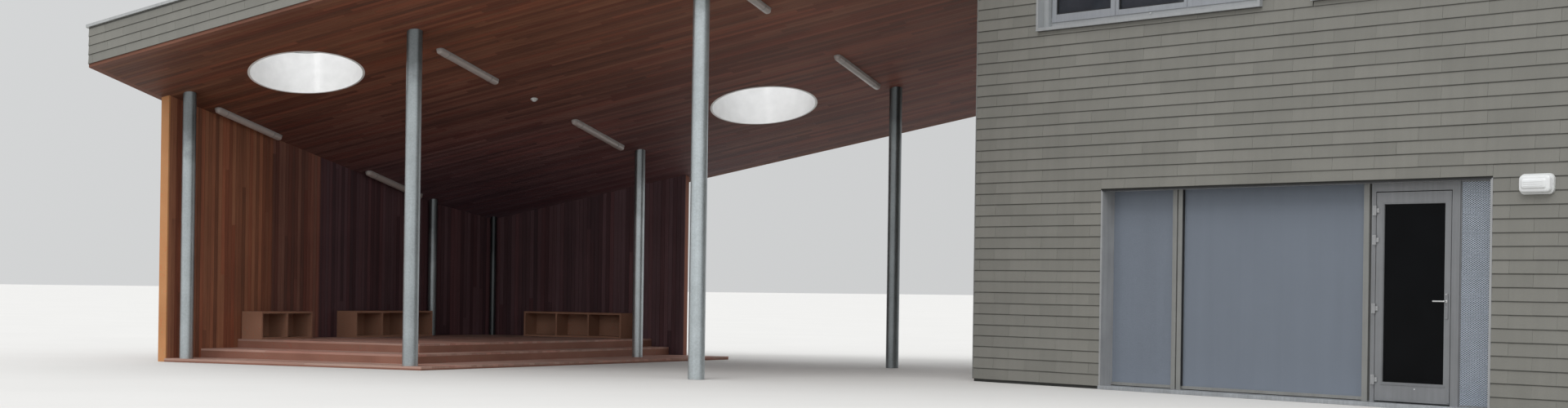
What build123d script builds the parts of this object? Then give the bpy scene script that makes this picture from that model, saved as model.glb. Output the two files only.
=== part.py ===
"""School building: a slate-clad block with a glazed door and an open-air classroom under a sloping canopy.

Units are millimetres and +Z is up. The origin is the middle of the block's plan at floor level, +X runs
along the block's front to the right and +Y runs from the front to the back. The canopy is laid out in its
own plan frame: s runs along the soffit boards and n runs to the back, turned against the block.
"""
import math
import os

from build123d import *

os.makedirs("parts", exist_ok=True)

# Slate module that sets the block's size
SLATE_PITCH = 605.0
COURSE = 145.0
FIRST_COURSE = 35.0

# Block
BLOCK_W = 18 * SLATE_PITCH
BLOCK_D = 14 * SLATE_PITCH
WALL = 380.0
WALL_TOP = FIRST_COURSE + 52 * COURSE
FLOOR_T = 40.0
UPPER_FLOOR_Z = 3300.0
UPPER_FLOOR_T = 300.0
ROOF_Z = 6850.0
ROOF_T = 350.0
COPING_T = 45.0
COPING_LIP = 45.0

# Wide opening on the ground floor, measured from the block's left corner
OPEN_LEFT = 2405.0
OPEN_TOP = FIRST_COURSE + 17 * COURSE
LINING_T = 30.0
LINING_HEAD_T = 12.0
LINING_LIP = 15.0
SETBACK = 150.0
THRESHOLD_T = 45.0
THRESHOLD_LIP = 60.0

# Sun screens that fill the opening's left part, from left to right
NARROW_SCREEN_W = 1065.0
SCREEN_POST_W = 160.0
WIDE_SCREEN_W = 2815.0
END_POST_W = 140.0
END_GAP_W = 60.0
END_GAP_DEPTH = 70.0
POST_GROOVE_W = 22.0
POST_GROOVE_DEPTH = 55.0
POST_T = 90.0
SCREEN_T = 20.0
SCREEN_BAR_H = 45.0
SCREEN_BAR_T = 36.0
SCREEN_BOX_H = 130.0
SCREEN_BOX_T = 110.0

# Glazed door that opens outwards, right of the screens
JAMB_LEFT_W = 59.0
LEAF_W = 1024.0
JAMB_RIGHT_W = 107.0
HEAD_W = 95.0
LEAF_GAP = 10.0
FOOT_GAP = 13.0
LEAF_T = 60.0
STOP_LIP = 18.0
STOP_GAP = 5.0
STILE_LEFT = 91.0
STILE_RIGHT = 70.0
TOP_RAIL = 118.0
BOTTOM_RAIL = 200.0
GLASS_T = 24.0
HINGE_ZS = (294.0, 1088.0, 1854.0, 2183.0)
HINGE_R = 11.0
HINGE_H = 110.0
HINGE_WING = 45.0
HINGE_WING_T = 10.0
HINGE_CLEAR = 5.0
KNUCKLE_PROUD = 2.0
PIN_R = 5.0
PIN_PLAY = 0.08
KNUCKLE_END = 30.0
LEVER_Z = 1180.0
LEVER_R = 9.0
LEVER_REACH = 48.0
LEVER_LEN = 150.0
PLATE_W = 40.0
PLATE_OVER = 90.0
PLATE_UNDER = 195.0
PLATE_T = 10.0
PLATE_SIDE = 5.0
SEAT_GAP = 0.3

# Perforated panel right of the door
PANEL_W = 490.0
PANEL_T = 24.0

# Places along the opening that follow from the widths
NARROW_SCREEN_RIGHT = OPEN_LEFT + LINING_T + NARROW_SCREEN_W
WIDE_SCREEN_LEFT = NARROW_SCREEN_RIGHT + SCREEN_POST_W
WIDE_SCREEN_RIGHT = WIDE_SCREEN_LEFT + WIDE_SCREEN_W
FRAME_LEFT = WIDE_SCREEN_RIGHT + END_POST_W
LEAF_LEFT = FRAME_LEFT + JAMB_LEFT_W + LEAF_GAP
LEAF_RIGHT = LEAF_LEFT + LEAF_W
FRAME_RIGHT = LEAF_RIGHT + LEAF_GAP + JAMB_RIGHT_W
OPEN_RIGHT = FRAME_RIGHT + PANEL_W + LINING_T
LEAF_FOOT = THRESHOLD_T + FOOT_GAP
HEAD_FOOT = OPEN_TOP - LINING_HEAD_T
LEAF_TOP = HEAD_FOOT - HEAD_W - LEAF_GAP
SCREEN_FOOT = THRESHOLD_T + SCREEN_BAR_H

# Upper windows
WIN_PIER = 770.0
WIN_W = 3865.0
WIN_FOOT = 4590.0
WIN_H = 1540.0
WIN_RIGHT = (BLOCK_W - WIN_PIER) / 2
WIN_LEFT = WIN_RIGHT - WIN_W
WIN_TOP = WIN_FOOT + WIN_H
SURROUND_T = 40.0
SURROUND_LIP = 60.0
SURROUND_DEPTH = 170.0
WIN_FRAME_W = 55.0
WIN_FRAME_FOOT = 140.0
WIN_FRAME_T = 70.0
PANES = 3

# Bulkhead light on the front, right of the opening
LAMP_W = 420.0
LAMP_H = 215.0
LAMP_T = 105.0
LAMP_BASE_T = 37.0
LAMP_CORNER = 60.0
LAMP_EDGE = 18.0
LAMP_SIDE = 357.0
LAMP_X = OPEN_RIGHT + LAMP_SIDE + LAMP_W / 2
LAMP_Z = 2420.0

# Canopy plan frame against the block
TURN = 28.13
CORNER_S = 11780.0
CORNER_N = 3790.0
CANOPY_BACK = 9280.0
RISE_S = 0.1992
FALL_N = -0.2254
SOFFIT_Z = 4167.0
SOFFIT_T = 20.0
ROOF_UP = 470.0
FASCIA_H = 560.0
FASCIA_T = 90.0
RIM_T = 40.0
RIM_LIP = 35.0
RIM_IN = 20.0

# Round rooflights
SHAFTS = ((2230.0, 1820.0), (7050.0, 6930.0))
SHAFT_R = 800.0
SHAFT_T = 22.0
SHAFT_UP = 620.0
DOME_H = 240.0
DOME_T = 22.0
DOME_RINGS = 3
DOME_SIDES = 64

# Tubes that carry the canopy: place, radius and the level that they stand on
DECK_TOPS = (50.0, 180.0, 310.0)
FRONT_TUBES = ((400.0, 1490.0, 96.85, DECK_TOPS[0]), (4310.0, 1490.0, 109.55, DECK_TOPS[0]),
               (8790.0, 1490.0, 109.55, 0.0))
BACK_TUBES = ((590.0, 7540.0, 69.85, DECK_TOPS[2]), (4540.0, 7550.0, 84.15, DECK_TOPS[0]),
              (9010.0, 7510.0, 96.85, 0.0))
CORNER_TUBE = (915.0, 8915.0, 50.8, DECK_TOPS[2])

# Timber walls: inner face of the left one, then the back one
WALL_START = (130.0, 1390.0)
WALL_BEND = (500.0, 7620.0)
WALL_CORNER = (850.0, 9000.0)
BACK_WALL_END = 4600.0
TIMBER_T = 140.0
END_TRIM_T = 30.0

# Stepped timber deck: front edge and the two ends of the right edge
DECK_FRONTS = (1330.0, 2100.0, 2900.0)
DECK_RIGHTS = ((4600.0, 5450.0), (3900.0, 4330.0), (3500.0, 4000.0))

# Bench units against the timber walls
BENCH_H = 420.0
BENCH_DEPTH = 390.0
BENCH_BOARD = 30.0
LEFT_BENCHES = ((2980.0, 4150.0), (5200.0, 7180.0))
BACK_BENCH = (1740.0, 3630.0)
FRONT_BENCH_BAYS = 2
MIDDLE_BENCH_BAYS = 3
BACK_BENCH_BAYS = 3

# Fittings on the soffit
LIGHT_LEN = 1560.0
LIGHT_W = 120.0
LIGHT_T = 75.0
LIGHTS = ((370.0, 2900.0), (4260.0, 2920.0), (8690.0, 2920.0), (550.0, 6460.0), (4390.0, 6460.0),
          (8820.0, 6480.0))
SENSOR = (4340.0, 4610.0)
SENSOR_R = 55.0
SENSOR_H = 45.0
SENSOR_SIDES = 24

X0 = -BLOCK_W / 2
Y0 = -BLOCK_D / 2
X1 = BLOCK_W / 2
Y1 = BLOCK_D / 2
COS = math.cos(math.radians(TURN))
SIN = math.sin(math.radians(TURN))


def save(name, *solids):
    """Write one node; several solids make one node of like pieces."""
    shape = solids[0] if len(solids) == 1 else Compound(children=list(solids))
    export_step(shape, f"parts/{name}.step")


def block(x_lo, x_hi, y_lo, y_hi, z_lo, z_hi):
    """A squared block between two corners."""
    size = (x_hi - x_lo, y_hi - y_lo, z_hi - z_lo)
    return Pos((x_lo + x_hi) / 2, (y_lo + y_hi) / 2, (z_lo + z_hi) / 2) * Box(*size)


# Block: walls, floors and roof

def front_x(distance):
    """X of a point on the block's front, measured from its left corner."""
    return X0 + distance


def window_places():
    """Left edge and direction of the windows: two on the front and two on the back, mirrored."""
    left = front_x(WIN_LEFT)
    right = -front_x(WIN_RIGHT)
    return [(x, side) for side in (-1, 1) for x in (left, right)]


def window_box(x, side, depth_lo, depth_hi, inset=0.0):
    """Block at a window, from one depth to another behind the outer wall face."""
    ys = sorted((side * (Y1 - depth_lo), side * (Y1 - depth_hi)))
    return block(x + inset, x + WIN_W - inset, ys[0], ys[1], WIN_FOOT + inset, WIN_TOP - inset)


def wall_piece(x_lo, x_hi, y_lo, y_hi, z_lo):
    """A stretch of wall with the windows cut through it."""
    piece = block(x_lo, x_hi, y_lo, y_hi, z_lo, WALL_TOP)
    for x, side in window_places():
        piece = piece - window_box(x, side, -WALL, 2 * WALL)
    return piece


def build_block():
    open_l, open_r = front_x(OPEN_LEFT), front_x(OPEN_RIGHT)
    front_in, back_in = Y0 + WALL, Y1 - WALL
    save("front_wall_left", wall_piece(X0, open_l, Y0, front_in, 0))
    save("front_wall_over", wall_piece(open_l, open_r, Y0, front_in, OPEN_TOP))
    save("front_wall_right", wall_piece(open_r, X1, Y0, front_in, 0))
    save("back_wall", wall_piece(X0, X1, back_in, Y1, 0))
    save("left_side_wall", block(X0, X0 + WALL, front_in, back_in, 0, WALL_TOP))
    save("right_side_wall", block(X1 - WALL, X1, front_in, back_in, 0, WALL_TOP))
    inside = (X0 + WALL, X1 - WALL, front_in, back_in)
    save("ground_floor", block(*inside, 0, FLOOR_T))
    save("upper_floor", block(*inside, UPPER_FLOOR_Z, UPPER_FLOOR_Z + UPPER_FLOOR_T))
    save("flat_roof", block(*inside, ROOF_Z, ROOF_Z + ROOF_T))
    lip = COPING_LIP
    cap = block(X0 - lip, X1 + lip, Y0 - lip, Y1 + lip, WALL_TOP, WALL_TOP + COPING_T)
    well = block(X0 + WALL - lip, X1 - WALL + lip, front_in - lip, back_in + lip, WALL_TOP - COPING_T,
                 WALL_TOP + 2 * COPING_T)
    save("parapet_coping", cap - well)


def build_windows():
    surrounds, frames, panes = [], [], []
    pane_y = SURROUND_DEPTH - WIN_FRAME_T / 2
    for x, side in window_places():
        inner = window_box(x, side, -2 * SURROUND_LIP, 2 * SURROUND_DEPTH, SURROUND_T)
        surrounds.append(window_box(x, side, -SURROUND_LIP, SURROUND_DEPTH) - inner)
        frame = window_box(x, side, SURROUND_DEPTH - WIN_FRAME_T, SURROUND_DEPTH, SURROUND_T)
        light = (WIN_W - 2 * SURROUND_T - WIN_FRAME_W * (PANES + 1)) / PANES
        z_lo, z_hi = WIN_FOOT + SURROUND_T + WIN_FRAME_FOOT, WIN_TOP - SURROUND_T - WIN_FRAME_W
        y_pane = side * (Y1 - pane_y)
        for i in range(PANES):
            x_lo = x + SURROUND_T + WIN_FRAME_W + i * (light + WIN_FRAME_W)
            frame = frame - block(x_lo, x_lo + light, y_pane - WIN_FRAME_T, y_pane + WIN_FRAME_T, z_lo, z_hi)
            panes.append(block(x_lo, x_lo + light, y_pane - GLASS_T / 2, y_pane + GLASS_T / 2, z_lo, z_hi))
        frames.append(frame)
    save("window_surrounds", *surrounds)
    save("window_frames", *frames)
    save("window_glass", *panes)


# Ground-floor opening: lining, screens, door and panel

def build_opening():
    x_l, x_r = front_x(OPEN_LEFT), front_x(OPEN_RIGHT)
    y_back = Y0 + SETBACK + POST_T
    top = HEAD_FOOT
    save("opening_lining",
         block(x_l, x_l + LINING_T, Y0 - LINING_LIP, y_back, 0, OPEN_TOP)
         + block(x_r - LINING_T, x_r, Y0 - LINING_LIP, y_back, 0, OPEN_TOP)
         + block(x_l, x_r, Y0 - LINING_LIP, y_back, top, OPEN_TOP))
    in_l, in_r = x_l + LINING_T, x_r - LINING_T
    save("threshold", block(in_l, in_r, Y0 - THRESHOLD_LIP, Y0 + WALL, 0, THRESHOLD_T))

    face = Y0 + SETBACK
    middle = block(front_x(NARROW_SCREEN_RIGHT), front_x(WIDE_SCREEN_LEFT), face, y_back, THRESHOLD_T, top)
    groove_x = front_x((NARROW_SCREEN_RIGHT + WIDE_SCREEN_LEFT - POST_GROOVE_W) / 2)
    groove = (face, face + POST_GROOVE_DEPTH, THRESHOLD_T, top)
    middle = middle - block(groove_x, groove_x + POST_GROOVE_W, *groove)
    end = block(front_x(WIDE_SCREEN_RIGHT), front_x(FRAME_LEFT), face, y_back, THRESHOLD_T, top)
    gap = (face, face + END_GAP_DEPTH, THRESHOLD_T, top)
    end = end - block(front_x(FRAME_LEFT - END_GAP_W), front_x(FRAME_LEFT), *gap)
    save("screen_posts", middle, end)
    screens = {"narrow": (in_l, front_x(NARROW_SCREEN_RIGHT)),
               "wide": (front_x(WIDE_SCREEN_LEFT), front_x(WIDE_SCREEN_RIGHT))}
    mid = face + POST_T / 2
    cloth_back = mid + SCREEN_T / 2
    boxes, bars = [], []
    for name, (a, b) in screens.items():
        save(f"{name}_screen", block(a, b, mid - SCREEN_T / 2, cloth_back, SCREEN_FOOT, top))
        boxes.append(block(a, b, cloth_back, cloth_back + SCREEN_BOX_T, top - SCREEN_BOX_H, top))
        bars.append(block(a, b, mid - SCREEN_BAR_T / 2, mid + SCREEN_BAR_T / 2, THRESHOLD_T, SCREEN_FOOT))
    save("screen_boxes", *boxes)
    save("screen_bottom_bars", *bars)
    save("perforated_panel", block(front_x(FRAME_RIGHT), in_r, face - PANEL_T / 2, face + PANEL_T / 2,
                                   THRESHOLD_T, top))


def build_door():
    face = Y0 + SETBACK - LEAF_T / 2
    back = face + LEAF_T
    deep = Y0 + SETBACK + POST_T
    f_l, f_r = front_x(FRAME_LEFT), front_x(FRAME_RIGHT)
    l_l, l_r = front_x(LEAF_LEFT), front_x(LEAF_RIGHT)
    rebate = block(l_l - LEAF_GAP, l_r + LEAF_GAP, face, back + STOP_GAP, 0, LEAF_TOP + LEAF_GAP)
    way = block(l_l + STOP_LIP, l_r - STOP_LIP, face, deep, 0, LEAF_TOP - STOP_LIP)
    save("door_frame", block(f_l, f_r, face, deep, THRESHOLD_T, HEAD_FOOT) - rebate - way)

    mid = (face + back) / 2
    light = (l_l + STILE_LEFT, l_r - STILE_RIGHT)
    heights = (LEAF_FOOT + BOTTOM_RAIL, LEAF_TOP - TOP_RAIL)
    leaf = block(l_l, l_r, face, back, LEAF_FOOT, LEAF_TOP) - block(*light, face, back, *heights)
    save("door_leaf", leaf)
    save("door_glass", block(*light, mid - GLASS_T / 2, mid + GLASS_T / 2, *heights))

    axis_x = l_l - LEAF_GAP / 2
    axis_y = face - HINGE_R - KNUCKLE_PROUD
    leaf_knuckles, frame_hinges = [], []
    half, middle = HINGE_H / 2, HINGE_H / 2 - KNUCKLE_END
    for z in HINGE_ZS:
        at = Pos(axis_x, axis_y, z)
        short = middle - SEAT_GAP
        knuckle = at * Cylinder(HINGE_R, 2 * short)
        wing = block(axis_x, axis_x + HINGE_WING, face - HINGE_WING_T, face, z - short, z + short)
        leaf_knuckles.append(knuckle + wing - at * Cylinder(PIN_R + PIN_PLAY, HINGE_H))
        hinge = at * Cylinder(PIN_R, HINGE_H)
        for low, high in ((-half, -middle), (middle, half)):
            hinge = hinge + Pos(axis_x, axis_y, z + (low + high) / 2) * Cylinder(HINGE_R, KNUCKLE_END)
            hinge = hinge + block(axis_x - HINGE_WING, axis_x, face - HINGE_WING_T, face, z + low, z + high)
        strip = block(axis_x - HINGE_WING, axis_x - HINGE_R - HINGE_CLEAR, face - HINGE_WING_T, face,
                      z - half, z + half)
        frame_hinges.append(hinge + strip)
    save("leaf_hinges", *leaf_knuckles)
    save("frame_hinges", *frame_hinges)

    grip_x = l_r - STILE_RIGHT + PLATE_W / 2 + PLATE_SIDE
    plates, levers = [], []
    for side, skin in ((-1, face), (1, back)):
        ys = sorted((skin, skin + side * PLATE_T))
        plates.append(block(grip_x - PLATE_W / 2, grip_x + PLATE_W / 2, *ys, LEVER_Z - PLATE_UNDER,
                            LEVER_Z + PLATE_OVER))
        start = skin + side * (PLATE_T + SEAT_GAP)
        end = start + side * LEVER_REACH
        neck = Pos(grip_x, (start + end) / 2, LEVER_Z) * Rot(90, 0, 0) * Cylinder(LEVER_R, LEVER_REACH)
        grip_y = end - side * LEVER_R
        run = LEVER_LEN + LEVER_R
        grip = Pos(grip_x + LEVER_R - run / 2, grip_y, LEVER_Z) * Rot(0, 90, 0) * Cylinder(LEVER_R, run)
        levers.append(neck + grip)
    save("door_lock_plates", *plates)
    save("door_levers", *levers)


def build_lamp():
    x_lo, x_hi = front_x(LAMP_X - LAMP_W / 2), front_x(LAMP_X + LAMP_W / 2)
    z_lo, z_hi = LAMP_Z - LAMP_H / 2, LAMP_Z + LAMP_H / 2
    base = block(x_lo, x_hi, Y0 - LAMP_BASE_T, Y0, z_lo, z_hi)
    save("bulkhead_light_base", fillet(base.edges().filter_by(Axis.Y), LAMP_CORNER))
    edge = LAMP_EDGE
    lens = block(x_lo + edge, x_hi - edge, Y0 - LAMP_T, Y0 - LAMP_BASE_T, z_lo + edge, z_hi - edge)
    lens = fillet(lens.edges().filter_by(Axis.Y), LAMP_CORNER - edge)
    save("bulkhead_light_lens", chamfer(lens.faces().sort_by(Axis.Y)[0].edges(), 1.5 * edge))


# Canopy, laid out in its own plan frame and then turned into place

PLACE = (Pos(X0, Y0, 0) * Rot(0, 0, TURN) * Pos(-CORNER_S, -CORNER_N, 0))
NORMAL = Vector(-RISE_S, -FALL_N, 1).normalized()


def soffit_z(s, n):
    """Height of the soffit over the floor at a plan place."""
    return SOFFIT_Z + RISE_S * s + FALL_N * n


def right_edge(n, inset):
    """Place on the canopy's right side, which runs on from the block's side wall, held off by an inset."""
    return CORNER_S + (n - CORNER_N) * SIN / COS - inset / COS, n


def slab(points, lift, height):
    """Layer of the sloping canopy over a plan outline, with upright sides."""
    ring = [Vector(s, n, soffit_z(s, n) + lift) for s, n in points]
    face = Face(Wire.make_polygon(ring, close=True))
    return extrude(face, amount=height, dir=(0, 0, 1))


def under_soffit(points, z_lo):
    """Upright prism over a plan outline that ends at the sloping soffit."""
    face = Face(Wire.make_polygon([Vector(s, n, z_lo) for s, n in points], close=True))
    highest = max(soffit_z(s, n) for s, n in points)
    tall = extrude(face, amount=highest + SOFFIT_T - z_lo, dir=(0, 0, 1))
    return split(tall, bisect_by=soffit_plane(*points[0]), keep=Keep.BOTTOM)


def soffit_plane(s, n, lift=0.0, along=(0, 1)):
    """Plane on the soffit with its Z pointing up out of the slope and its X along a plan direction."""
    run = Vector(along[0], along[1], RISE_S * along[0] + FALL_N * along[1]).normalized()
    origin = Vector(s, n, soffit_z(s, n)) + NORMAL * lift
    return Plane(origin=origin, x_dir=run, z_dir=NORMAL)


def drum(s, n, radius, low, high):
    """Round bar square to the slope, between two heights over the soffit."""
    return soffit_plane(s, n, (low + high) / 2).location * Cylinder(radius, high - low)


def build_canopy():
    outline = [(0, 0), right_edge(0, FASCIA_T), right_edge(CANOPY_BACK, FASCIA_T), (0, CANOPY_BACK)]
    soffit, roof = slab(outline, 0, SOFFIT_T), slab(outline, SOFFIT_T, ROOF_UP - SOFFIT_T)
    for s, n in SHAFTS:
        well = drum(s, n, SHAFT_R + SHAFT_T, -ROOF_UP, 2 * ROOF_UP)
        soffit, roof = soffit - well, roof - well
    save("canopy_soffit", PLACE * soffit)
    save("canopy_roof", PLACE * roof)

    t = FASCIA_T
    front = [(-t, -t), right_edge(-t, 0), right_edge(0, 0), (-t, 0)]
    back = [(-t, CANOPY_BACK), right_edge(CANOPY_BACK, 0), right_edge(CANOPY_BACK + t, 0),
            (-t, CANOPY_BACK + t)]
    left = [(-t, 0), (0, 0), (0, CANOPY_BACK), (-t, CANOPY_BACK)]
    right = [right_edge(0, t), right_edge(0, 0), right_edge(CANOPY_BACK, 0), right_edge(CANOPY_BACK, t)]
    for name, points in (("front", front), ("back", back), ("left", left), ("right", right)):
        save(f"{name}_fascia", PLACE * slab(points, 0, FASCIA_H))

    out, inner = t + RIM_LIP, RIM_IN
    rim = [(-out, -out), right_edge(-out, 0), right_edge(CANOPY_BACK + out, 0), (-out, CANOPY_BACK + out)]
    hole = [(inner, inner), right_edge(inner, t + inner), right_edge(CANOPY_BACK - inner, t + inner),
            (inner, CANOPY_BACK - inner)]
    save("canopy_coping", PLACE * (slab(rim, FASCIA_H, RIM_T) - slab(hole, FASCIA_H - RIM_T, 3 * RIM_T)))


def faceted(rings, sides):
    """Many-sided turned body through rings of radius and height, closed flat at both ends."""
    turns = [2 * math.pi * i / sides for i in range(sides)]
    loops = [[Vector(r * math.cos(a), r * math.sin(a), z) for a in turns] for r, z in rings]
    faces = [Face(Wire.make_polygon(loop, close=True)) for loop in (loops[0], loops[-1])]
    for low, high in zip(loops, loops[1:]):
        for i in range(sides):
            j = (i + 1) % sides
            faces.append(Face(Wire.make_polygon([low[i], low[j], high[j], high[i]], close=True)))
    return Solid(Shell(faces))


def dome():
    """Shallow closed dome standing on Z = 0, from many-sided rings."""
    ball = (SHAFT_R ** 2 + DOME_H ** 2) / (2 * DOME_H)
    swing = math.asin(SHAFT_R / ball)
    angles = [swing * (1 - i / (DOME_RINGS + 0.5)) for i in range(DOME_RINGS + 1)]

    def arc(radius):
        return [(radius * math.sin(a), radius * math.cos(a) - (ball - DOME_H)) for a in angles]

    rim = SHAFT_R + SHAFT_T
    outer = faceted([(rim, 0), (rim, DOME_T)] + arc(ball + DOME_T), DOME_SIDES)
    return outer - faceted(arc(ball), DOME_SIDES)


def build_rooflights():
    shafts, domes = [], []
    for s, n in SHAFTS:
        outside = drum(s, n, SHAFT_R + SHAFT_T, 0, SHAFT_UP)
        shafts.append(PLACE * (outside - drum(s, n, SHAFT_R, 0, SHAFT_UP)))
        domes.append(PLACE * soffit_plane(s, n, SHAFT_UP).location * dome())
    save("rooflight_shafts", *shafts)
    save("rooflight_domes", *domes)


def tube(s, n, radius, foot):
    """A round tube up to the soffit."""
    height = soffit_z(s, n) + radius - foot
    post = Pos(s, n, foot + height / 2) * Cylinder(radius, height)
    return PLACE * split(post, bisect_by=soffit_plane(s, n), keep=Keep.BOTTOM)


def build_tubes():
    save("front_columns", *[tube(*place) for place in FRONT_TUBES])
    save("back_columns", *[tube(*place) for place in BACK_TUBES])
    save("corner_tube", tube(*CORNER_TUBE))


def wall_line(n):
    """Plan place on the left timber wall's inner face."""
    (s0, n0), (s1, n1), (s2, n2) = WALL_START, WALL_BEND, WALL_CORNER
    if n <= n0:
        return s0, n
    if n <= n1:
        return s0 + (s1 - s0) * (n - n0) / (n1 - n0), n
    return s1 + (s2 - s1) * (n - n1) / (n2 - n1), n


def build_timber_walls():
    t = TIMBER_T
    corner_s, corner_n = WALL_CORNER
    left = [WALL_START, WALL_BEND, WALL_CORNER, (corner_s, corner_n + t), (corner_s - t, corner_n + t),
            (WALL_BEND[0] - t, WALL_BEND[1] + t / 4), (WALL_START[0] - t, WALL_START[1])]
    save("left_timber_wall", PLACE * under_soffit(left, 0))
    back = [WALL_CORNER, (BACK_WALL_END, corner_n), (BACK_WALL_END, corner_n + t), (corner_s, corner_n + t)]
    save("back_timber_wall", PLACE * under_soffit(back, 0))
    s, n = WALL_START
    trim = [(s - t, n - END_TRIM_T), (s, n - END_TRIM_T), (s, n), (s - t, n)]
    save("wall_end_trim", PLACE * under_soffit(trim, 0))


def deck_slab(front, right, z_lo, z_hi):
    """One deck level, fitted against the timber walls."""
    corner_s, corner_n = WALL_CORNER
    right_front, right_back = right
    points = [wall_line(front), (right_front, front), (right_back, corner_n), WALL_CORNER, WALL_BEND]
    if front < WALL_START[1]:
        points.append(WALL_START)
    face = Face(Wire.make_polygon([Vector(s, n, z_lo) for s, n in points], close=True))
    return extrude(face, amount=z_hi - z_lo, dir=(0, 0, 1))


def build_deck():
    names = ("lower", "middle", "upper")
    feet = (0.0,) + DECK_TOPS[:-1]
    for name, front, right, z_lo, z_hi in zip(names, DECK_FRONTS, DECK_RIGHTS, feet, DECK_TOPS):
        save(f"{name}_deck", PLACE * deck_slab(front, right, z_lo, z_hi))


def bench(length, bays):
    """Open-fronted bench unit: X along the wall, Y out of it, standing on Z = 0."""
    board = BENCH_BOARD
    body = block(0, length, 0, BENCH_DEPTH, 0, BENCH_H)
    bay = (length - board * (bays + 1)) / bays
    for i in range(bays):
        x_lo = board + i * (bay + board)
        body = body - block(x_lo, x_lo + bay, board, BENCH_DEPTH, board, BENCH_H - board)
    return body


def build_benches():
    z = DECK_TOPS[2]
    lean = math.degrees(math.atan2(WALL_BEND[0] - WALL_START[0], WALL_BEND[1] - WALL_START[1]))
    units = []
    for (n_lo, n_hi), bays in zip(LEFT_BENCHES, (FRONT_BENCH_BAYS, MIDDLE_BENCH_BAYS)):
        s, n = wall_line(n_hi)
        spot = Pos(s, n, z) * Rot(0, 0, -90 - lean)
        units.append(PLACE * spot * bench(n_hi - n_lo, bays))
    save("left_benches", *units)
    s_lo, s_hi = BACK_BENCH
    spot = Pos(s_hi, WALL_CORNER[1], z) * Rot(0, 0, 180)
    save("back_bench", PLACE * spot * bench(s_hi - s_lo, BACK_BENCH_BAYS))


def build_fittings():
    lights = []
    run = (BACK_TUBES[1][0] - FRONT_TUBES[1][0]) / (BACK_TUBES[1][1] - FRONT_TUBES[1][1])
    for s, n in LIGHTS:
        bar = Box(LIGHT_LEN, LIGHT_W, LIGHT_T)
        low = bar.faces().sort_by(Axis.Z)[0]
        bar = fillet(low.edges(), LIGHT_T * 0.45)
        lights.append(PLACE * soffit_plane(s, n, -LIGHT_T / 2, (run, 1)).location * bar)
    save("ceiling_lights", *lights)
    cup = faceted([(SENSOR_R * 0.6, -SENSOR_H), (SENSOR_R, 0)], SENSOR_SIDES)
    save("motion_sensor", PLACE * soffit_plane(*SENSOR).location * cup)


build_block()
build_windows()
build_opening()
build_door()
build_lamp()
build_canopy()
build_rooflights()
build_tubes()
build_timber_walls()
build_deck()
build_benches()
build_fittings()
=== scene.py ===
"""Looks of the school building: slates, boards, sun screens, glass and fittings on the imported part."""
import math
from types import SimpleNamespace

import bmesh
import bpy
from mathutils import Matrix, Vector


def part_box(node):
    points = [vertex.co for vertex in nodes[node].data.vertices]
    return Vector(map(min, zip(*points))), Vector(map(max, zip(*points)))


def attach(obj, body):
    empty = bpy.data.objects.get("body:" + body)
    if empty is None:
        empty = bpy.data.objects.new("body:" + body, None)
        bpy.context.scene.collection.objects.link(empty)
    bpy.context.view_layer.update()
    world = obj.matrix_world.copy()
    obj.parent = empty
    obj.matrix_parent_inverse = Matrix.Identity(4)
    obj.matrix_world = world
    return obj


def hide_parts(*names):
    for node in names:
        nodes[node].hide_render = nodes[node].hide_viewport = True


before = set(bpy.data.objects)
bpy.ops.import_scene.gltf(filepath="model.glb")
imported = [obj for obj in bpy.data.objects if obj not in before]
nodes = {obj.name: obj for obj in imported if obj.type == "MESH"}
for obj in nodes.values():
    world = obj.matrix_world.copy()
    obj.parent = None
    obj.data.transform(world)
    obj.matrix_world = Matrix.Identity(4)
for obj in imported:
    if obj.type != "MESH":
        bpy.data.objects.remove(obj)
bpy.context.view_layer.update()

# Block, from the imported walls
(BLOCK_LEFT, FRONT, _), (OPEN_LEFT, _, WALL_TOP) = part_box("front_wall_left")
OPEN_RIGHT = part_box("front_wall_right")[0].x
OPEN_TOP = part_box("front_wall_over")[0].z
BLOCK_W = -2 * BLOCK_LEFT
BLOCK_D = -2 * FRONT
(WIN_LEFT, _, WIN_FOOT), (_, _, WIN_TOP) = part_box("window_surrounds")
WIN_W = 3.865
WIN_PLACES = (WIN_LEFT, -WIN_LEFT - WIN_W)

# Slates
SLATE_W = 0.605
COURSE = 0.145
FIRST_COURSE = 0.035
FASCIA_COURSE = 0.128
SLATE_T = 0.007
SLATE_STAND = 0.016
SLATE_JOINT = 0.0022
SLATE_LAP = 0.02
BOND_START = 0.095
HEAD_GAP = 0.018
LEAST_RUN = 0.012
LEAST_RISE = 0.01
WOBBLE = Vector((0.001, 0.0008, 0.001))

# From row to row the numbers rise by this much, so that each slate and each board length has its own
SLATE_STEP = 977.0
BOARD_STEP = 61.0

# Canopy plan frame against the block, and its slope
TURN = math.radians(28.13)
CORNER_S = 11.78
CORNER_N = 3.79
CANOPY_BACK = 9.28
RISE_S = 0.1992
FALL_N = -0.2254
SOFFIT_Z = 4.167
SOFFIT_T = 0.02
ROOF_UP = 0.47
FASCIA_H = 0.56
FASCIA_T = 0.09
FASCIA_STRIP = 0.048

# Timber boards
SOFFIT_BOARD = 0.075
WALL_BOARD = 0.075
DECK_BOARD = 0.12
DECK_T = 0.028
BOARD_GAP = 0.004
BOARD_T = 0.018
WALL_START = (0.13, 1.39)
WALL_BEND = (0.5, 7.62)
WALL_CORNER = (0.85, 9.0)
BACK_WALL_END = 4.6
TIMBER_T = 0.14
SPARE = 0.01

# Roof sheets and copings
SHEET_W = 1.0
SHEET_GAP = 0.94
LAP_T = 0.004
COPING_LENGTH = 2.4
UPSTAND_T = 0.004
UPSTAND_H = 0.15

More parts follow.
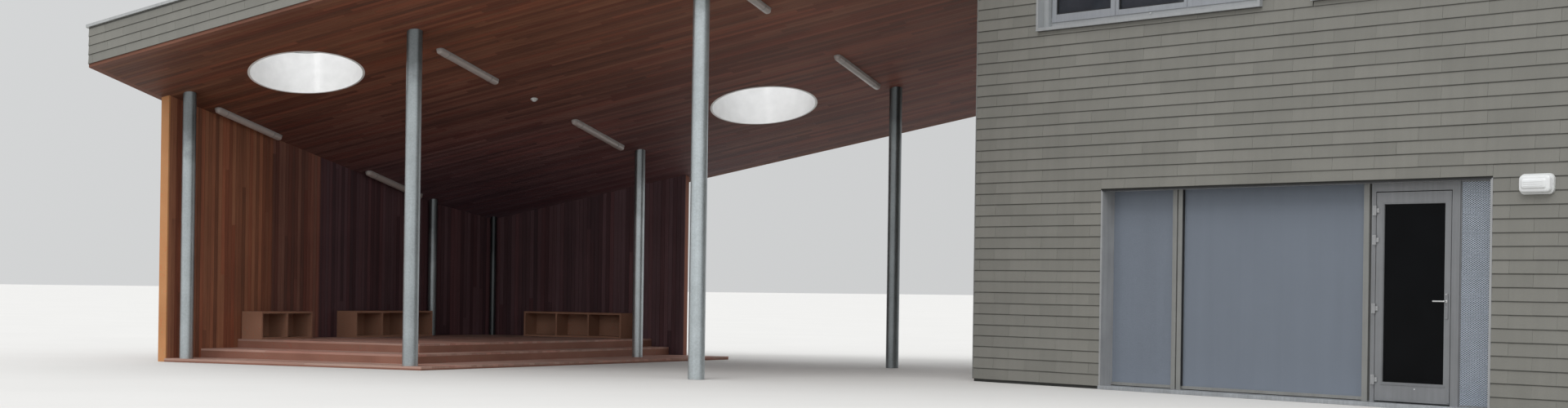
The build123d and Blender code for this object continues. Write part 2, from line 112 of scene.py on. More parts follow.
UP = Vector((0, 0, 1))
QUARTER = math.pi / 2
SOFT_EDGE = 0.0015
FINE_EDGE = 0.001
WELD = 1e-5


# Node trees: small helpers

class Value:
    """What a node gives out, so that a node tree reads as plain arithmetic."""

    def __init__(self, socket):
        self.socket = socket
        self.tree = socket.id_data

    def step(self, operation, *others):
        """One step of arithmetic on numbers."""
        return put(self.tree, "ShaderNodeMath", dict(enumerate((self, *others))), operation=operation)

    def move(self, operation, *others, output=0):
        """One step of arithmetic on vectors."""
        feeds = dict(enumerate((self, *others)))
        return put(self.tree, "ShaderNodeVectorMath", feeds, output, operation=operation)

    def spread(self, low_out, high_out, low=0.3, high=0.7):
        """Maps one range of numbers, by default the middle of a noise, on another."""
        return put(self.tree, "ShaderNodeMapRange", {"Value": self, "From Min": low, "From Max": high,
                                                     "To Min": low_out, "To Max": high_out})

    def axes(self):
        """The three numbers of a vector."""
        return [Value(out) for out in put(self.tree, "ShaderNodeSeparateXYZ", {0: self}).socket.node.outputs]

    def __add__(self, other):
        return self.step("ADD", other)

    def __sub__(self, other):
        return self.step("SUBTRACT", other)

    def __mul__(self, other):
        return self.step("MULTIPLY", other)

    def __truediv__(self, other):
        return self.step("DIVIDE", other)

    def __mod__(self, other):
        return self.step("FLOORED_MODULO", other)


def feed(value, socket):
    """Gives a socket a number, a vector or what another node gives out."""
    if isinstance(value, Value):
        value.tree.links.new(value.socket, socket)
    else:
        socket.default_value = value


def put(tree, kind, feeds=None, output=0, **settings):
    """Adds a node, sets its properties, feeds its inputs (a list feeds one input) and gives an output."""
    node = tree.nodes.new(kind)
    for name, value in settings.items():
        setattr(node, name, value)
    for key, value in (feeds or {}).items():
        for one in value if isinstance(value, list) else [value]:
            feed(one, node.inputs[key])
    return Value(node.outputs[output]) if len(node.outputs) else None


def vector(tree, x=0.0, y=0.0, z=0.0):
    """Three numbers as one vector."""
    return put(tree, "ShaderNodeCombineXYZ", {0: x, 1: y, 2: z})


def growth(name, sizes):
    """A geometry tree, and what it is given: a mesh, named sizes, a finish and a seed."""
    tree = bpy.data.node_groups.new(name, "GeometryNodeTree")
    tree.interface.new_socket("grown", in_out="OUTPUT", socket_type="NodeSocketGeometry")
    inputs = [("mesh", "Geometry"), *((size, "Float") for size in sizes.split()), ("finish", "Material"),
              ("seed", "Int")]
    for size, kind in inputs:
        tree.interface.new_socket(size, in_out="INPUT", socket_type="NodeSocket" + kind)
    sockets = tree.nodes.new("NodeGroupInput").outputs
    return tree, SimpleNamespace(**{size: Value(socket) for (size, _), socket in zip(inputs, sockets)})


def counted(tree, across):
    """Row and column of a point where so many stand across."""
    index = put(tree, "GeometryNodeInputIndex")
    return ((index + 0.5) / across).step("FLOOR"), index % across


def chance(number, seed):
    """A random number between 0 and 1 that belongs to a numbered piece."""
    return put(number.tree, "FunctionNodeRandomValue", {"ID": number, "Seed": seed}, 1, data_type="FLOAT")


def marked(geometry, name, value, domain):
    """Geometry that carries a number under a name."""
    return put(geometry.tree, "GeometryNodeStoreNamedAttribute",
               {"Geometry": geometry, "Name": name, "Value": value}, domain=domain)


def moved(geometry, position):
    """Geometry with its points put at new places."""
    return put(geometry.tree, "GeometryNodeSetPosition", {"Geometry": geometry, "Position": position})


def cube(tree):
    """A cube of size 1."""
    return put(tree, "GeometryNodeMeshCube", {"Size": (1, 1, 1)})


def repeated(points, one, **more):
    """One thing set on every point, turned, scaled or chosen as the named values say."""
    feeds = {"Points": points, "Instance": one, **{key.title(): value for key, value in more.items()}}
    return put(one.tree, "GeometryNodeInstanceOnPoints", feeds)


def real(geometry):
    """Repeats made real faces."""
    return put(geometry.tree, "GeometryNodeRealizeInstances", {"Geometry": geometry})


def shared(first, second):
    """What two solids have in common."""
    return put(first.tree, "GeometryNodeMeshBoolean", {"Mesh 2": [first, second]}, operation="INTERSECT",
               solver="MANIFOLD")


def carved(solid, cutter, solver="MANIFOLD"):
    """A solid without what another one covers."""
    return put(solid.tree, "GeometryNodeMeshBoolean", {"Mesh 1": solid, "Mesh 2": cutter},
               operation="DIFFERENCE", solver=solver)


def finish_tree(tree, given, geometry):
    """Ends a geometry tree in real faces with their finish."""
    done = put(tree, "GeometryNodeSetMaterial", {"Geometry": real(geometry), "Material": given.finish})
    put(tree, "NodeGroupOutput", {0: done})
    return tree


def shown(name, data):
    """A new object in the scene."""
    thing = bpy.data.objects.new(name, data)
    bpy.context.scene.collection.objects.link(thing)
    return thing


def worked_out(thing):
    """Plain mesh of what a curve or a modifier makes."""
    return bpy.data.meshes.new_from_object(thing.evaluated_get(bpy.context.evaluated_depsgraph_get()))


def grow(name, tree, place=Matrix.Identity(4), base=None, **sizes):
    """Runs a geometry tree, keeps the result as a plain mesh and puts it in place."""
    thing = shown(name, base or bpy.data.meshes.new(name))
    modifier = thing.modifiers.new("growth", "NODES")
    modifier.node_group = tree
    for item in tree.interface.items_tree:
        if item.in_out == "INPUT" and item.name in sizes:
            modifier[item.identifier] = sizes[item.name]
    mesh = worked_out(thing)
    thing.modifiers.clear()
    thing.data = mesh
    mesh.name = name
    mesh.transform(place)
    return thing


# Meshes: small helpers

def shift(x=0.0, y=0.0, z=0.0):
    """A move."""
    return Matrix.Translation((x, y, z))


def spin(angle, axis="Z"):
    """A turn about an axis."""
    return Matrix.Rotation(angle, 4, axis)


def framed(x, y, z, origin):
    """Frame with the given axes at an origin."""
    place = Matrix((x, y, z)).transposed().to_4x4()
    place.translation = origin
    return place


def join(name, things):
    """Makes one piece of several."""
    if len(things) > 1:
        bpy.ops.object.select_all(action="DESELECT")
        for thing in things:
            thing.select_set(True)
        bpy.context.view_layer.objects.active = things[0]
        bpy.ops.object.join()
    things[0].name = name
    things[0].data.name = name
    return things[0]


def piece(name, work, finish, place=Matrix.Identity(4), smooth=False):
    """Makes a piece of finished mesh work."""
    bmesh.ops.recalc_face_normals(work, faces=work.faces)
    mesh = bpy.data.meshes.new(name)
    work.to_mesh(mesh)
    work.free()
    mesh.transform(place)
    if smooth:
        mesh.shade_smooth()
        mesh.set_sharp_from_angle(angle=math.radians(38))
    mesh.materials.append(finish)
    return shown(name, mesh)


def fit(thing, slot, *replaced, body="building"):
    """Fixes a piece to its body and hides the CAD nodes that it stands for; its finish slot is not used."""
    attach(thing, body)
    if replaced:
        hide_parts(*replaced)


def bar(work, low, high, edge=0.0):
    """Adds a squared bar between two corners, with softened edges."""
    size = Vector(high) - Vector(low)
    where = Matrix.Translation((Vector(low) + Vector(high)) / 2) @ Matrix.Diagonal((*size, 1))
    made = bmesh.ops.create_cube(work, size=1, matrix=where)["verts"]
    if edge:
        edges = {e for v in made for e in v.link_edges}
        bmesh.ops.bevel(work, geom=list(edges), offset=edge, segments=2, affect="EDGES", clamp_overlap=True)


def ring(work, low, high, side, foot=None, head=None, edge=SOFT_EDGE):
    """Adds four bars round a rectangle in X and Z, all of one width where foot and head aren't given."""
    (x0, y0, z0), (x1, y1, z1) = low, high
    bar(work, (x0, y0, z0), (x0 + side, y1, z1), edge)
    bar(work, (x1 - side, y0, z0), (x1, y1, z1), edge)
    bar(work, (x0 + side, y0, z0), (x1 - side, y1, z0 + (foot or side)), edge)
    bar(work, (x0 + side, y0, z1 - (head or side)), (x1 - side, y1, z1), edge)


def skin(work, low, high):
    """Adds the faces between two loops of equal count."""
    for i in range(len(low)):
        j = (i + 1) % len(low)
        work.faces.new((low[i], low[j], high[j], high[i]))


def stack(work, loops):
    """Adds a closed body through loops of equal count, capped at both ends."""
    rings = [[work.verts.new(p) for p in loop] for loop in loops]
    for low, high in zip(rings, rings[1:]):
        skin(work, low, high)
    work.faces.new(rings[0])
    work.faces.new(rings[-1])


def hoop(work, place, outline, sides=72):
    """Adds a closed turned ring from a closed outline of radius and height."""
    rings = [[work.verts.new(place @ p) for p in circle(r, z, sides)] for r, z in outline]
    for low, high in zip(rings, rings[1:] + rings[:1]):
        skin(work, low, high)


def rounded(width, height, radius, z, steps=8):
    """Loop of points round a rectangle with round corners, at a height."""
    loop = []
    for corner, (cx, cy) in enumerate(((1, 1), (-1, 1), (-1, -1), (1, -1))):
        for i in range(steps + 1):
            angle = (corner + i / steps) * math.pi / 2
            loop.append(Vector((cx * (width / 2 - radius) + radius * math.cos(angle),
                                cy * (height / 2 - radius) + radius * math.sin(angle), z)))
    return loop


def moulded(work, wide, tall, deep, loops):
    """Adds a round-cornered body; each loop gives its inset, share of the depth and corner radius."""
    stack(work, [rounded(wide - 2 * inset, tall - 2 * inset, radius, deep * share)
                 for inset, share, radius in loops])


def circle(radius, z, sides):
    """Loop of points round a circle, at a height."""
    return [Vector((radius * math.cos(a), radius * math.sin(a), z))
            for a in (2 * math.pi * i / sides for i in range(sides))]


def bent_bar(route, radius):
    """Work with a round bar bent along a route."""
    line = bpy.data.curves.new("bent_bar", "CURVE")
    line.dimensions = "3D"
    line.bevel_depth = radius
    line.bevel_resolution = 6
    line.resolution_u = 8
    line.use_fill_caps = True
    spline = line.splines.new("NURBS")
    spline.points.add(len(route) - 1)
    for point, spot in zip(spline.points, route):
        point.co = (*spot, 1)
    spline.order_u = 3
    spline.use_endpoint_u = True
    thing = shown("bent_bar", line)
    work = bmesh.new()
    work.from_mesh(worked_out(thing))
    bpy.data.objects.remove(thing)
    bmesh.ops.remove_doubles(work, verts=work.verts, dist=WELD)
    return work


def solid_copy(node, place, lift=0.0):
    """Closed copy of a CAD node's mesh, seen in another frame."""
    work = bmesh.new()
    work.from_mesh(nodes[node].data)
    bmesh.ops.remove_doubles(work, verts=work.verts, dist=WELD)
    work.transform(shift(z=lift) @ place.inverted())
    mesh = bpy.data.meshes.new(node + "_copy")
    work.to_mesh(mesh)
    work.free()
    return mesh


def reach(mesh):
    """Lowest and highest corner of a mesh."""
    points = [v.co for v in mesh.vertices]
    return [Vector(pick(p[i] for p in points) for i in range(3)) for pick in (min, max)]


# Canopy frame

CANOPY = shift(BLOCK_LEFT, FRONT) @ spin(TURN) @ shift(-CORNER_S, -CORNER_N)
SHEAR = Matrix(((1, 0, 0, 0), (0, 1, 0, 0), (RISE_S, FALL_N, 1, SOFFIT_Z), (0, 0, 0, 1)))
SLOPE = CANOPY @ SHEAR
BLOCK_MIDDLE = CANOPY.inverted() @ Vector()


def soffit_z(s, n):
    """Height of the soffit at a plan place of the canopy."""
    return SOFFIT_Z + RISE_S * s + FALL_N * n


def right_edge(n):
    """Place along s of the canopy's right side."""
    return CORNER_S + (n - CORNER_N) * math.tan(TURN)


RIGHT_SIDE = shift(right_edge(0)) @ spin(QUARTER - TURN)


def turned(origin, along, inward):
    """Frame with X along a line, Y inwards and Z square to both."""
    x = along.normalized()
    y = (inward - x * inward.dot(x)).normalized()
    return framed(x, y, x.cross(y), origin)


def on_soffit(s, n, lift=0.0, along=(1, 0)):
    """Frame on the soffit: Z out of the slope, X along a plan direction."""
    x = Vector((along[0], along[1], RISE_S * along[0] + FALL_N * along[1])).normalized()
    z = Vector((-RISE_S, -FALL_N, 1)).normalized()
    return CANOPY @ framed(x, z.cross(x), z, Vector((s, n, soffit_z(s, n))) + z * lift)


# Materials

def material(name):
    """A new finish and its node tree."""
    finish = bpy.data.materials.new(name)
    finish.use_nodes = True
    return finish, finish.node_tree


PLAIN = {"specular": "Specular IOR Level", "metallic": "Metallic", "alpha": "Alpha", "coat": "Coat Weight"}


def painted(finish, colour, roughness, relief=None, depth=0.0, **plain):
    """A finish with its surface shader fed: colour, roughness, relief to a depth in metres, plain values."""
    feeds = {"Base Color": colour, "Roughness": roughness}
    feeds.update({PLAIN[key]: value for key, value in plain.items()})
    if depth:
        feeds["Normal"] = put(finish.node_tree, "ShaderNodeBump", {"Height": relief, "Distance": depth})
    for key, value in feeds.items():
        feed(value, finish.node_tree.nodes["Principled BSDF"].inputs[key])
    return finish


def places(tree, scale=(1, 1, 1), turn=0.0, tilt=0.0):
    """Object coordinates turned to lie with a piece, then stretched."""
    where = put(tree, "ShaderNodeTexCoord", output="Object")
    shrink = tuple(1 / s for s in scale)
    return put(tree, "ShaderNodeMapping", {"Vector": where, "Rotation": (0, -tilt, turn), "Scale": shrink},
               vector_type="TEXTURE")


def noise(where, scale, detail=4.0, roughness=0.55):
    """Cloudy noise between 0 and 1."""
    return put(where.tree, "ShaderNodeTexNoise", {"Vector": where, "Scale": scale, "Detail": detail,
                                                  "Roughness": roughness}, "Fac")


def ramp(value, *stops):
    """Colour by a value, from (place, colour) stops."""
    colour = put(value.tree, "ShaderNodeValToRGB", {"Fac": value})
    elements = colour.socket.node.color_ramp.elements
    while len(elements) < len(stops):
        elements.new(0.5)
    for element, (place, shade) in zip(elements, stops):
        element.position = place
        element.color = (*shade, 1)
    return colour


def tint(colour, value):
    """A colour made lighter or darker by a number or by another colour."""
    tree = (colour if isinstance(colour, Value) else value).tree
    return put(tree, "ShaderNodeVectorMath", {0: colour, 1: value}, operation="MULTIPLY")


def mixed(factor, first, second):
    """Mix of two colours, by the colour sockets of the mix node."""
    first, second = [c if isinstance(c, Value) else (*c, 1) for c in (first, second)]
    return put(factor.tree, "ShaderNodeMix", {"Factor": factor, 6: first, 7: second}, 2, data_type="RGBA")


def attribute(tree, name):
    """A number that the mesh carries."""
    return put(tree, "ShaderNodeAttribute", output="Fac", attribute_name=name)


def slate_finish():
    """Fibre slate: warm grey, each slate a shade of its own, painted shadow under the lap above, faint
    run-off.
    """
    finish, tree = material("grey_slate")
    tone, rise = attribute(tree, "tone"), attribute(tree, "rise")
    where = places(tree)
    clouds, grit = noise(where, 1.1, 5), noise(where, 90, 3)
    streaks = noise(places(tree, (9, 9, 0.7)), 1.0, 4)
    shade = ramp(tone, (0.0, (0.192, 0.188, 0.168)), (0.5, (0.203, 0.199, 0.178)),
                 (1.0, (0.215, 0.210, 0.188)))
    weather = clouds.spread(0.95, 1.05) + streaks.spread(-0.03, 0.03) + grit.spread(-0.04, 0.04)
    # Painted shadow just under the foot of the slate above, and painted shade on the underside of each
    # slate's foot
    lap = rise.spread(1.0, 0.42, 0.79, 0.87) * rise.spread(0.55, 1.0, 0.0, 0.045)
    return painted(finish, tint(tint(shade, weather), lap), grit.spread(0.60, 0.82, 0.2, 0.8), grit, 0.0012,
                   specular=0.35)


def masonry_finish():
    """Wall core: dark breather sheet behind the slates, pale plaster on the inside."""
    finish, tree = material("wall_core")
    where = places(tree)
    sheet_t = 0.03
    wide, deep = [axis.step("ABSOLUTE") - (size / 2 - sheet_t)
                  for axis, size in zip(where.axes(), (BLOCK_W, BLOCK_D))]
    outside = wide.step("MAXIMUM", deep).step("GREATER_THAN", 0.0)
    clouds, trowel = noise(where, 1.3, 5), noise(where, 45, 4)
    plaster = tint((0.60, 0.585, 0.55), clouds.spread(0.92, 1.04))
    sheet = tint((0.035, 0.035, 0.032), clouds.spread(0.8, 1.2))
    return painted(finish, mixed(outside, plaster, sheet), trowel.spread(0.78, 0.92), trowel, 0.0008)


def wood_finish(name, dark, middle, light, stretch, tilt=0.0, rough=0.62, contrast=0.5, aged=0.0,
                by_board=True, painted_shade_along=None, inward=None):
    """Sawn hardwood: each board its own tone and redness, grain along it, worn lighter in patches, painted
    shade where given.
    """
    finish, tree = material(name)
    where, plan = places(tree), places(tree, turn=TURN).axes()
    tone = attribute(tree, "tone") if by_board else noise(where, 2.2, 1)
    hue = (tone * 57.3).step("FRACT")
    grained = places(tree, stretch, TURN, tilt).move("ADD", vector(tree, tone * 41.0, hue * 23.0, tone))
    grain, fibre = noise(grained, 1.6, 6, 0.62), noise(grained, 7.0, 3, 0.6)
    groups, weather = noise(where, 0.8, 2), noise(where, 0.45, 3)
    mix = (tone.spread(0.5 - contrast / 2, 0.5 + contrast / 2, 0, 1) + grain.spread(-0.22, 0.22, 0.25, 0.75)
           + groups.spread(-0.1, 0.1))
    colour = ramp(mix, (0.05, dark), (0.5, middle), (0.95, light))
    colour = mixed(hue.spread(0.0, 1.0, 0.4, 0.9), colour, tint(colour, (1.08, 0.88, 0.86)))
    depth = weather.spread(0.92, 1.08) + fibre.spread(-0.10, 0.09)
    # Painted shade: darker or lighter along the canopy's length
    if painted_shade_along:
        start, end, least, most = painted_shade_along
        along = plan[0] + BLOCK_MIDDLE.x
        depth = depth * along.spread(least, most, start, end)
    colour = tint(colour, depth)
    # Painted shade towards the back of the canopy: the colour tinted bluer, and darker on the walls; on the
    # soffit less so to the right
    if inward:
        first, second, shade = inward
        back = plan[1] + BLOCK_MIDDLE.y
        deep = (back.spread(0, 1, *first) + back.spread(0, 1, *second)) * 0.5
        if painted_shade_along:
            deep = deep * along.spread(1.0, 0.3, 1, 7)
        colour = mixed(deep, colour, tint(colour, shade))
    if aged:
        colour = mixed(weather.spread(0.0, aged, 0.35, 0.65), colour, (0.30, 0.27, 0.24))
    return painted(finish, colour, grain.spread(rough - 0.08, rough + 0.1, 0.2, 0.8), fibre, 0.0009,
                   specular=0.3)


# Plan place, reach and least value of painted shade and dark reflection: three tubes, then painted shade at
# the far corner
TUBES_PAINTED_DARK = (((0.4, 1.49), (0.3, 0.5), 0.84), ((4.31, 1.49), (0.3, 0.5), 0.8),
              ((9.01, 7.51), (0.3, 0.5), 0.48), ((0.915, 8.915), (0.1, 2.9), 0.16))


def galvanised_finish():
    """Hot-dipped zinc: crystal flowers, streaks, painted shade and dark reflection on three tubes, painted
    shade under the soffit and far inside.
    """
    finish, tree = material("galvanised_steel")
    where = places(tree)
    flowers = put(tree, "ShaderNodeTexVoronoi", {"Vector": where, "Scale": 55.0}, "Color").axes()[0]
    clouds = noise(where, 2.2, 4)
    streaks = noise(places(tree, (18, 18, 0.6)), 1.0, 4)
    shade = (flowers.spread(0.93, 1.07, 0, 1) + clouds.spread(-0.10, 0.08)
             + streaks.spread(-0.07, 0.05, 0.35, 0.65))
    for point, span, least in TUBES_PAINTED_DARK:
        flat = where.move("SUBTRACT", CANOPY @ Vector((*point, 0))).move("MULTIPLY", (1, 1, 0))
        shade = shade * flat.move("LENGTH", output="Value").spread(least, 1.0, *span)
    # Painted shade: darker within about a metre under the soffit
    sunk = places(tree, turn=TURN).move("DOT_PRODUCT", (RISE_S, FALL_N, -1), output="Value")
    under = sunk + clouds.spread(-0.25, 0.25) + soffit_z(BLOCK_MIDDLE.x, BLOCK_MIDDLE.y)
    shade = shade * under.spread(0.45, 1.0, 0.45, 1.05)
    return painted(finish, tint((0.48, 0.525, 0.54), shade), flowers.spread(0.32, 0.42, 0, 1), streaks,
                   0.0006, metallic=0.8)


def metal_finish(name, colour, rough=0.42, metallic=0.25, dirt=0.10):
    """Coated or anodised sheet with faint orange peel, handling marks and run-off streaks."""
    finish, tree = material(name)
    where = places(tree)
    peel, marks = noise(where, 160, 2), noise(where, 3.5, 5)
    runs = noise(places(tree, (30, 30, 0.9)), 1.0, 3)
    shade = marks.spread(1 - dirt, 1 + dirt / 2) + runs.spread(-dirt / 2, dirt / 2, 0.35, 0.65)
    return painted(finish, tint(colour, shade), marks.spread(rough - 0.05, rough + 0.08), peel, 0.0003,
                   metallic=metallic)


def plain_finish(name, colour, rough=0.8, patch=1.5, depth=0.10, relief=0.001, scale=40.0):
    """Dull surface with soft patches and a fine grit: concrete, felt, rubber."""
    finish, tree = material(name)
    where = places(tree)
    patches, grit = noise(where, patch, 5), noise(where, scale, 4)
    shade = patches.spread(1 - depth, 1 + depth) + grit.spread(-depth / 3, depth / 3)
    return painted(finish, tint(colour, shade), grit.spread(rough - 0.06, rough + 0.06), grit, relief)


def cloth_finish():
    """Screen cloth: grey-blue basket weave, faint upright bands, a little dust towards the foot."""
    finish, tree = material("screen_cloth")
    where = places(tree)
    thread = 0.0042
    across, _, upwards = where.axes()
    warp, weft = [(axis * (2 * math.pi / thread)).step("SINE") for axis in (across, upwards)]
    weave = warp * weft
    stripes = noise(places(tree, (5, 1, 0.25)), 1.0, 4)
    clouds = noise(where, 1.1, 4)
    shade = (weave.spread(0.94, 1.06, -1, 1) + stripes.spread(-0.03, 0.03) + clouds.spread(-0.025, 0.025)
             + upwards.spread(0.05, 0.0, 0.1, 0.5))
    return painted(finish, tint((0.178, 0.203, 0.243), shade), weave.spread(0.64, 0.80, -1, 1), weave, 0.0004,
                   specular=0.3)


def glass_finish(name, depth, shine):
    """Dark glazing that mirrors a little of its surroundings, with a faint film of dust; a lighter base
    colour is a painted reflection.
    """
    finish, tree = material(name)
    dust = noise(places(tree), 2.5, 5)
    return painted(finish, tint((0.85, 0.95, 1.15), dust.spread(depth, 1.8 * depth, 0.3, 0.8)),
                   dust.spread(0.02, 0.09, 0.3, 0.8), specular=shine, alpha=0.95)


def moulded_finish(name, colour, rough=0.25, alpha=1.0):
    """Moulded plastic with a soft sheen, a little dusty."""
    finish, tree = material(name)
    where = places(tree)
    dust = noise(where, 6, 5)
    return painted(finish, tint(colour, dust.spread(1.03, 0.92, 0.3, 0.8)),
                   dust.spread(rough, rough + 0.15, 0.3, 0.8), noise(where, 220, 2), 0.0001, alpha=alpha,
                   coat=0.3)


SLOPE_S = math.atan(RISE_S)
ALONG_S = (0.8, 22, 22)
UPRIGHT = (22, 22, 0.8)
slate = slate_finish()
wall_core = masonry_finish()
# Soffit boards with painted shade: darker towards the left end, tinted bluer towards the back
soffit_wood = wood_finish("soffit_hardwood", (0.100, 0.038, 0.0225), (0.174, 0.067, 0.037),
                          (0.258, 0.107, 0.058), ALONG_S, tilt=SLOPE_S, contrast=0.6,
                          painted_shade_along=(0, 11, 0.68, 1.22), inward=((2.0, 6.0), (5.0, 9.0), (0.90, 1.45, 3.3)))
# Inner wall boards with painted shade: darker and bluer in two steps towards the back
wall_wood = wood_finish("wall_hardwood", (0.138, 0.053, 0.030), (0.250, 0.098, 0.053), (0.385, 0.168, 0.090),
                        UPRIGHT, contrast=0.62, inward=((3.61, 3.65), (4.72, 4.78), (0.32, 0.41, 0.86)))
outer_wood = wood_finish("outer_hardwood", (0.118, 0.048, 0.029), (0.205, 0.084, 0.049),
                         (0.300, 0.132, 0.077), UPRIGHT, contrast=0.42)
deck_wood = wood_finish("deck_hardwood", (0.285, 0.150, 0.115), (0.43, 0.25, 0.195), (0.58, 0.365, 0.295),
                        ALONG_S, rough=0.7, aged=0.4)
# Risers and the core under the deck boards: a darker copy of the deck timber without its grey wear, the
# darkness a painted shade
riser_wood_painted_shade = wood_finish("riser_hardwood_painted_shade", (0.16, 0.075, 0.052), (0.25, 0.125, 0.088), (0.34, 0.185, 0.135),
                         ALONG_S, rough=0.7, by_board=False)
bench_wood = wood_finish("bench_hardwood", (0.20, 0.105, 0.066), (0.31, 0.172, 0.112), (0.42, 0.245, 0.165),
                         ALONG_S, by_board=False)
edge_wood = wood_finish("edge_hardwood", (0.10, 0.042, 0.028), (0.17, 0.074, 0.046), (0.23, 0.105, 0.068),
                        ALONG_S, by_board=False)
trim_wood = wood_finish("pale_trim", (0.37, 0.165, 0.060), (0.53, 0.265, 0.11), (0.67, 0.37, 0.18), UPRIGHT,
                        by_board=False)
backing = plain_finish("dark_backing", (0.012, 0.010, 0.010), rough=0.9)
concrete = plain_finish("floor_concrete", (0.40, 0.39, 0.37), rough=0.85)
membrane = plain_finish("roof_membrane", (0.105, 0.108, 0.11), rough=0.75,
                        patch=0.8, depth=0.18, relief=0.0015, scale=30)
coping_metal = metal_finish("coping_sheet", (0.42, 0.43, 0.43), rough=0.38, metallic=0.45)
lining_metal = metal_finish("lining_sheet", (0.33, 0.335, 0.34), rough=0.45, metallic=0.15)
window_metal = metal_finish("window_coating", (0.36, 0.372, 0.38), rough=0.4, metallic=0.15, dirt=0.06)
sash_metal = metal_finish("sash_coating", (0.31, 0.325, 0.35), rough=0.4, metallic=0.15, dirt=0.06)
door_metal = metal_finish("door_coating", (0.200, 0.205, 0.213), rough=0.42, metallic=0.15)
guide_metal = metal_finish("guide_coating", (0.235, 0.236, 0.225), rough=0.42, metallic=0.15)
hinge_metal = metal_finish("hinge_coating", (0.33, 0.335, 0.34), rough=0.38, metallic=0.2)
threshold_metal = metal_finish("threshold_sheet", (0.42, 0.44, 0.46), rough=0.35, metallic=0.6, dirt=0.18)
screen_cloth = cloth_finish()
door_pane = glass_finish("door_glazing", depth=0.0024, shine=0.058)
# Upper window glazing: its lighter base colour is a painted reflection
window_pane = glass_finish("window_glazing", depth=0.032, shine=0.35)
rubber = plain_finish("black_gasket", (0.012, 0.012, 0.013), rough=0.6,
                      patch=6, depth=0.1, relief=0.0003, scale=120)
satin_steel = metal_finish("satin_steel", (0.66, 0.66, 0.65), rough=0.28, metallic=1.0, dirt=0.06)
galvanised = galvanised_finish()
mesh_metal = metal_finish("expanded_metal", (0.56, 0.615, 0.69), rough=0.42, metallic=0.3, dirt=0.06)
mesh_back = plain_finish("panel_backing", (0.10, 0.112, 0.13), rough=0.7)
white_plastic = moulded_finish("white_plastic", (0.66, 0.67, 0.66), rough=0.35)
lens_plastic = moulded_finish("opal_plastic", (0.76, 0.77, 0.77), rough=0.25)
tray_plastic = moulded_finish("grey_tray", (0.34, 0.32, 0.31), rough=0.4)
tube_plastic = moulded_finish("aged_diffuser", (0.46, 0.41, 0.385), rough=0.3)
shaft_white = moulded_finish("shaft_laminate", (0.93, 0.93, 0.925), rough=0.10)
dome_plastic = moulded_finish("dome_acrylic", (0.86, 0.88, 0.89), rough=0.10, alpha=0.14)

for finish, names in ((wall_core, "front_wall_left front_wall_over front_wall_right back_wall"),
                      (wall_core, "left_side_wall right_side_wall"), (concrete, "ground_floor upper_floor"),
                      (membrane, "flat_roof canopy_roof"), (coping_metal, "parapet_coping canopy_coping"),
                      (window_metal, "window_surrounds window_frames"), (window_pane, "window_glass"),
                      (door_pane, "door_glass"), (lining_metal, "opening_lining"),
                      (guide_metal, "screen_posts screen_boxes screen_bottom_bars"),
                      (door_metal, "door_frame door_leaf door_lock_plates"),
                      (hinge_metal, "leaf_hinges frame_hinges"), (satin_steel, "door_levers"),
                      (threshold_metal, "threshold"), (mesh_back, "perforated_panel"),
                      (white_plastic, "bulkhead_light_base motion_sensor"),
                      (edge_wood, "front_fascia back_fascia left_fascia right_fascia"),
                      (shaft_white, "rooflight_shafts"), (trim_wood, "wall_end_trim"),
                      (galvanised, "front_columns back_columns corner_tube"),
                      (bench_wood, "left_benches back_bench")):
    for name in names.split():
        nodes[name].data.materials.clear()
        nodes[name].data.materials.append(finish)


# Slates

def slate_tree():
    """Courses of slates over one upright stretch: X along the wall, Z up, faces to -Y."""
    tree, given = growth("slate_courses", "left right foot top bond_start lean width course first joint "
                                          "thickness stand lap tucked")
    width, course, first, lean = given.width, given.course, given.first, given.lean
    row_low = ((given.foot - first) / course).step("FLOOR")
    rows = ((given.top - first) / course).step("CEIL") - row_low
    slant = lean.step("ABSOLUTE") * given.top
    column_low = ((given.left - slant - given.bond_start) / width).step("FLOOR") - 1.0
    columns = ((given.right - given.bond_start + slant) / width).step("CEIL") - column_low + 1.0
    points = put(tree, "GeometryNodePoints", {"Count": rows * columns})
    row, column = counted(tree, columns)
    row, column = row + row_low, column + column_low
    start = (column + row % 2.0 * 0.5) * width + given.bond_start
    foot = (first + row * course).step("MAXIMUM", given.foot)
    head = (first + (row + 1.0) * course).step("MINIMUM", given.top)
    at_foot, at_head = lean * foot, lean * head
    left = start.step("MAXIMUM", given.left + at_foot.step("MINIMUM", at_head))
    right = (start + width).step("MINIMUM", given.right + at_foot.step("MAXIMUM", at_head))
    run = right - left - given.joint
    rise = head - foot
    kept = run.step("GREATER_THAN", LEAST_RUN) * rise.step("GREATER_THAN", LEAST_RISE)
    number = row * SLATE_STEP + column
    wobble = put(tree, "FunctionNodeRandomValue",
                 {"Min": -WOBBLE, "Max": WOBBLE, "ID": number, "Seed": given.seed}, data_type="FLOAT_VECTOR")
    tilt = (given.stand - given.thickness) / given.course
    tall = rise + given.lap.step("MINIMUM", given.top - head + given.tucked)
    out = given.stand - given.thickness / 2.0 - tilt * (tall / 2.0)
    spot = vector(tree, left + run / 2.0, out * -1.0, foot + tall / 2.0).move("ADD", wobble)
    upwards = put(tree, "GeometryNodeInputPosition").axes()[2]
    slates = repeated(moved(points, spot), marked(cube(tree), "rise", upwards + 0.5, "POINT"), selection=kept,
                      rotation=vector(tree, tilt * -1.0), scale=vector(tree, run, given.thickness, tall))
    slates = real(marked(slates, "tone", chance(number, given.seed), "INSTANCE"))
    x, y, z = put(tree, "GeometryNodeInputPosition").axes()
    edge = lean * z
    across = x.step("MAXIMUM", given.left + edge).step("MINIMUM", given.right + edge)
    return finish_tree(tree, given, moved(slates, vector(tree, across, y, z)))


SLATES = slate_tree()


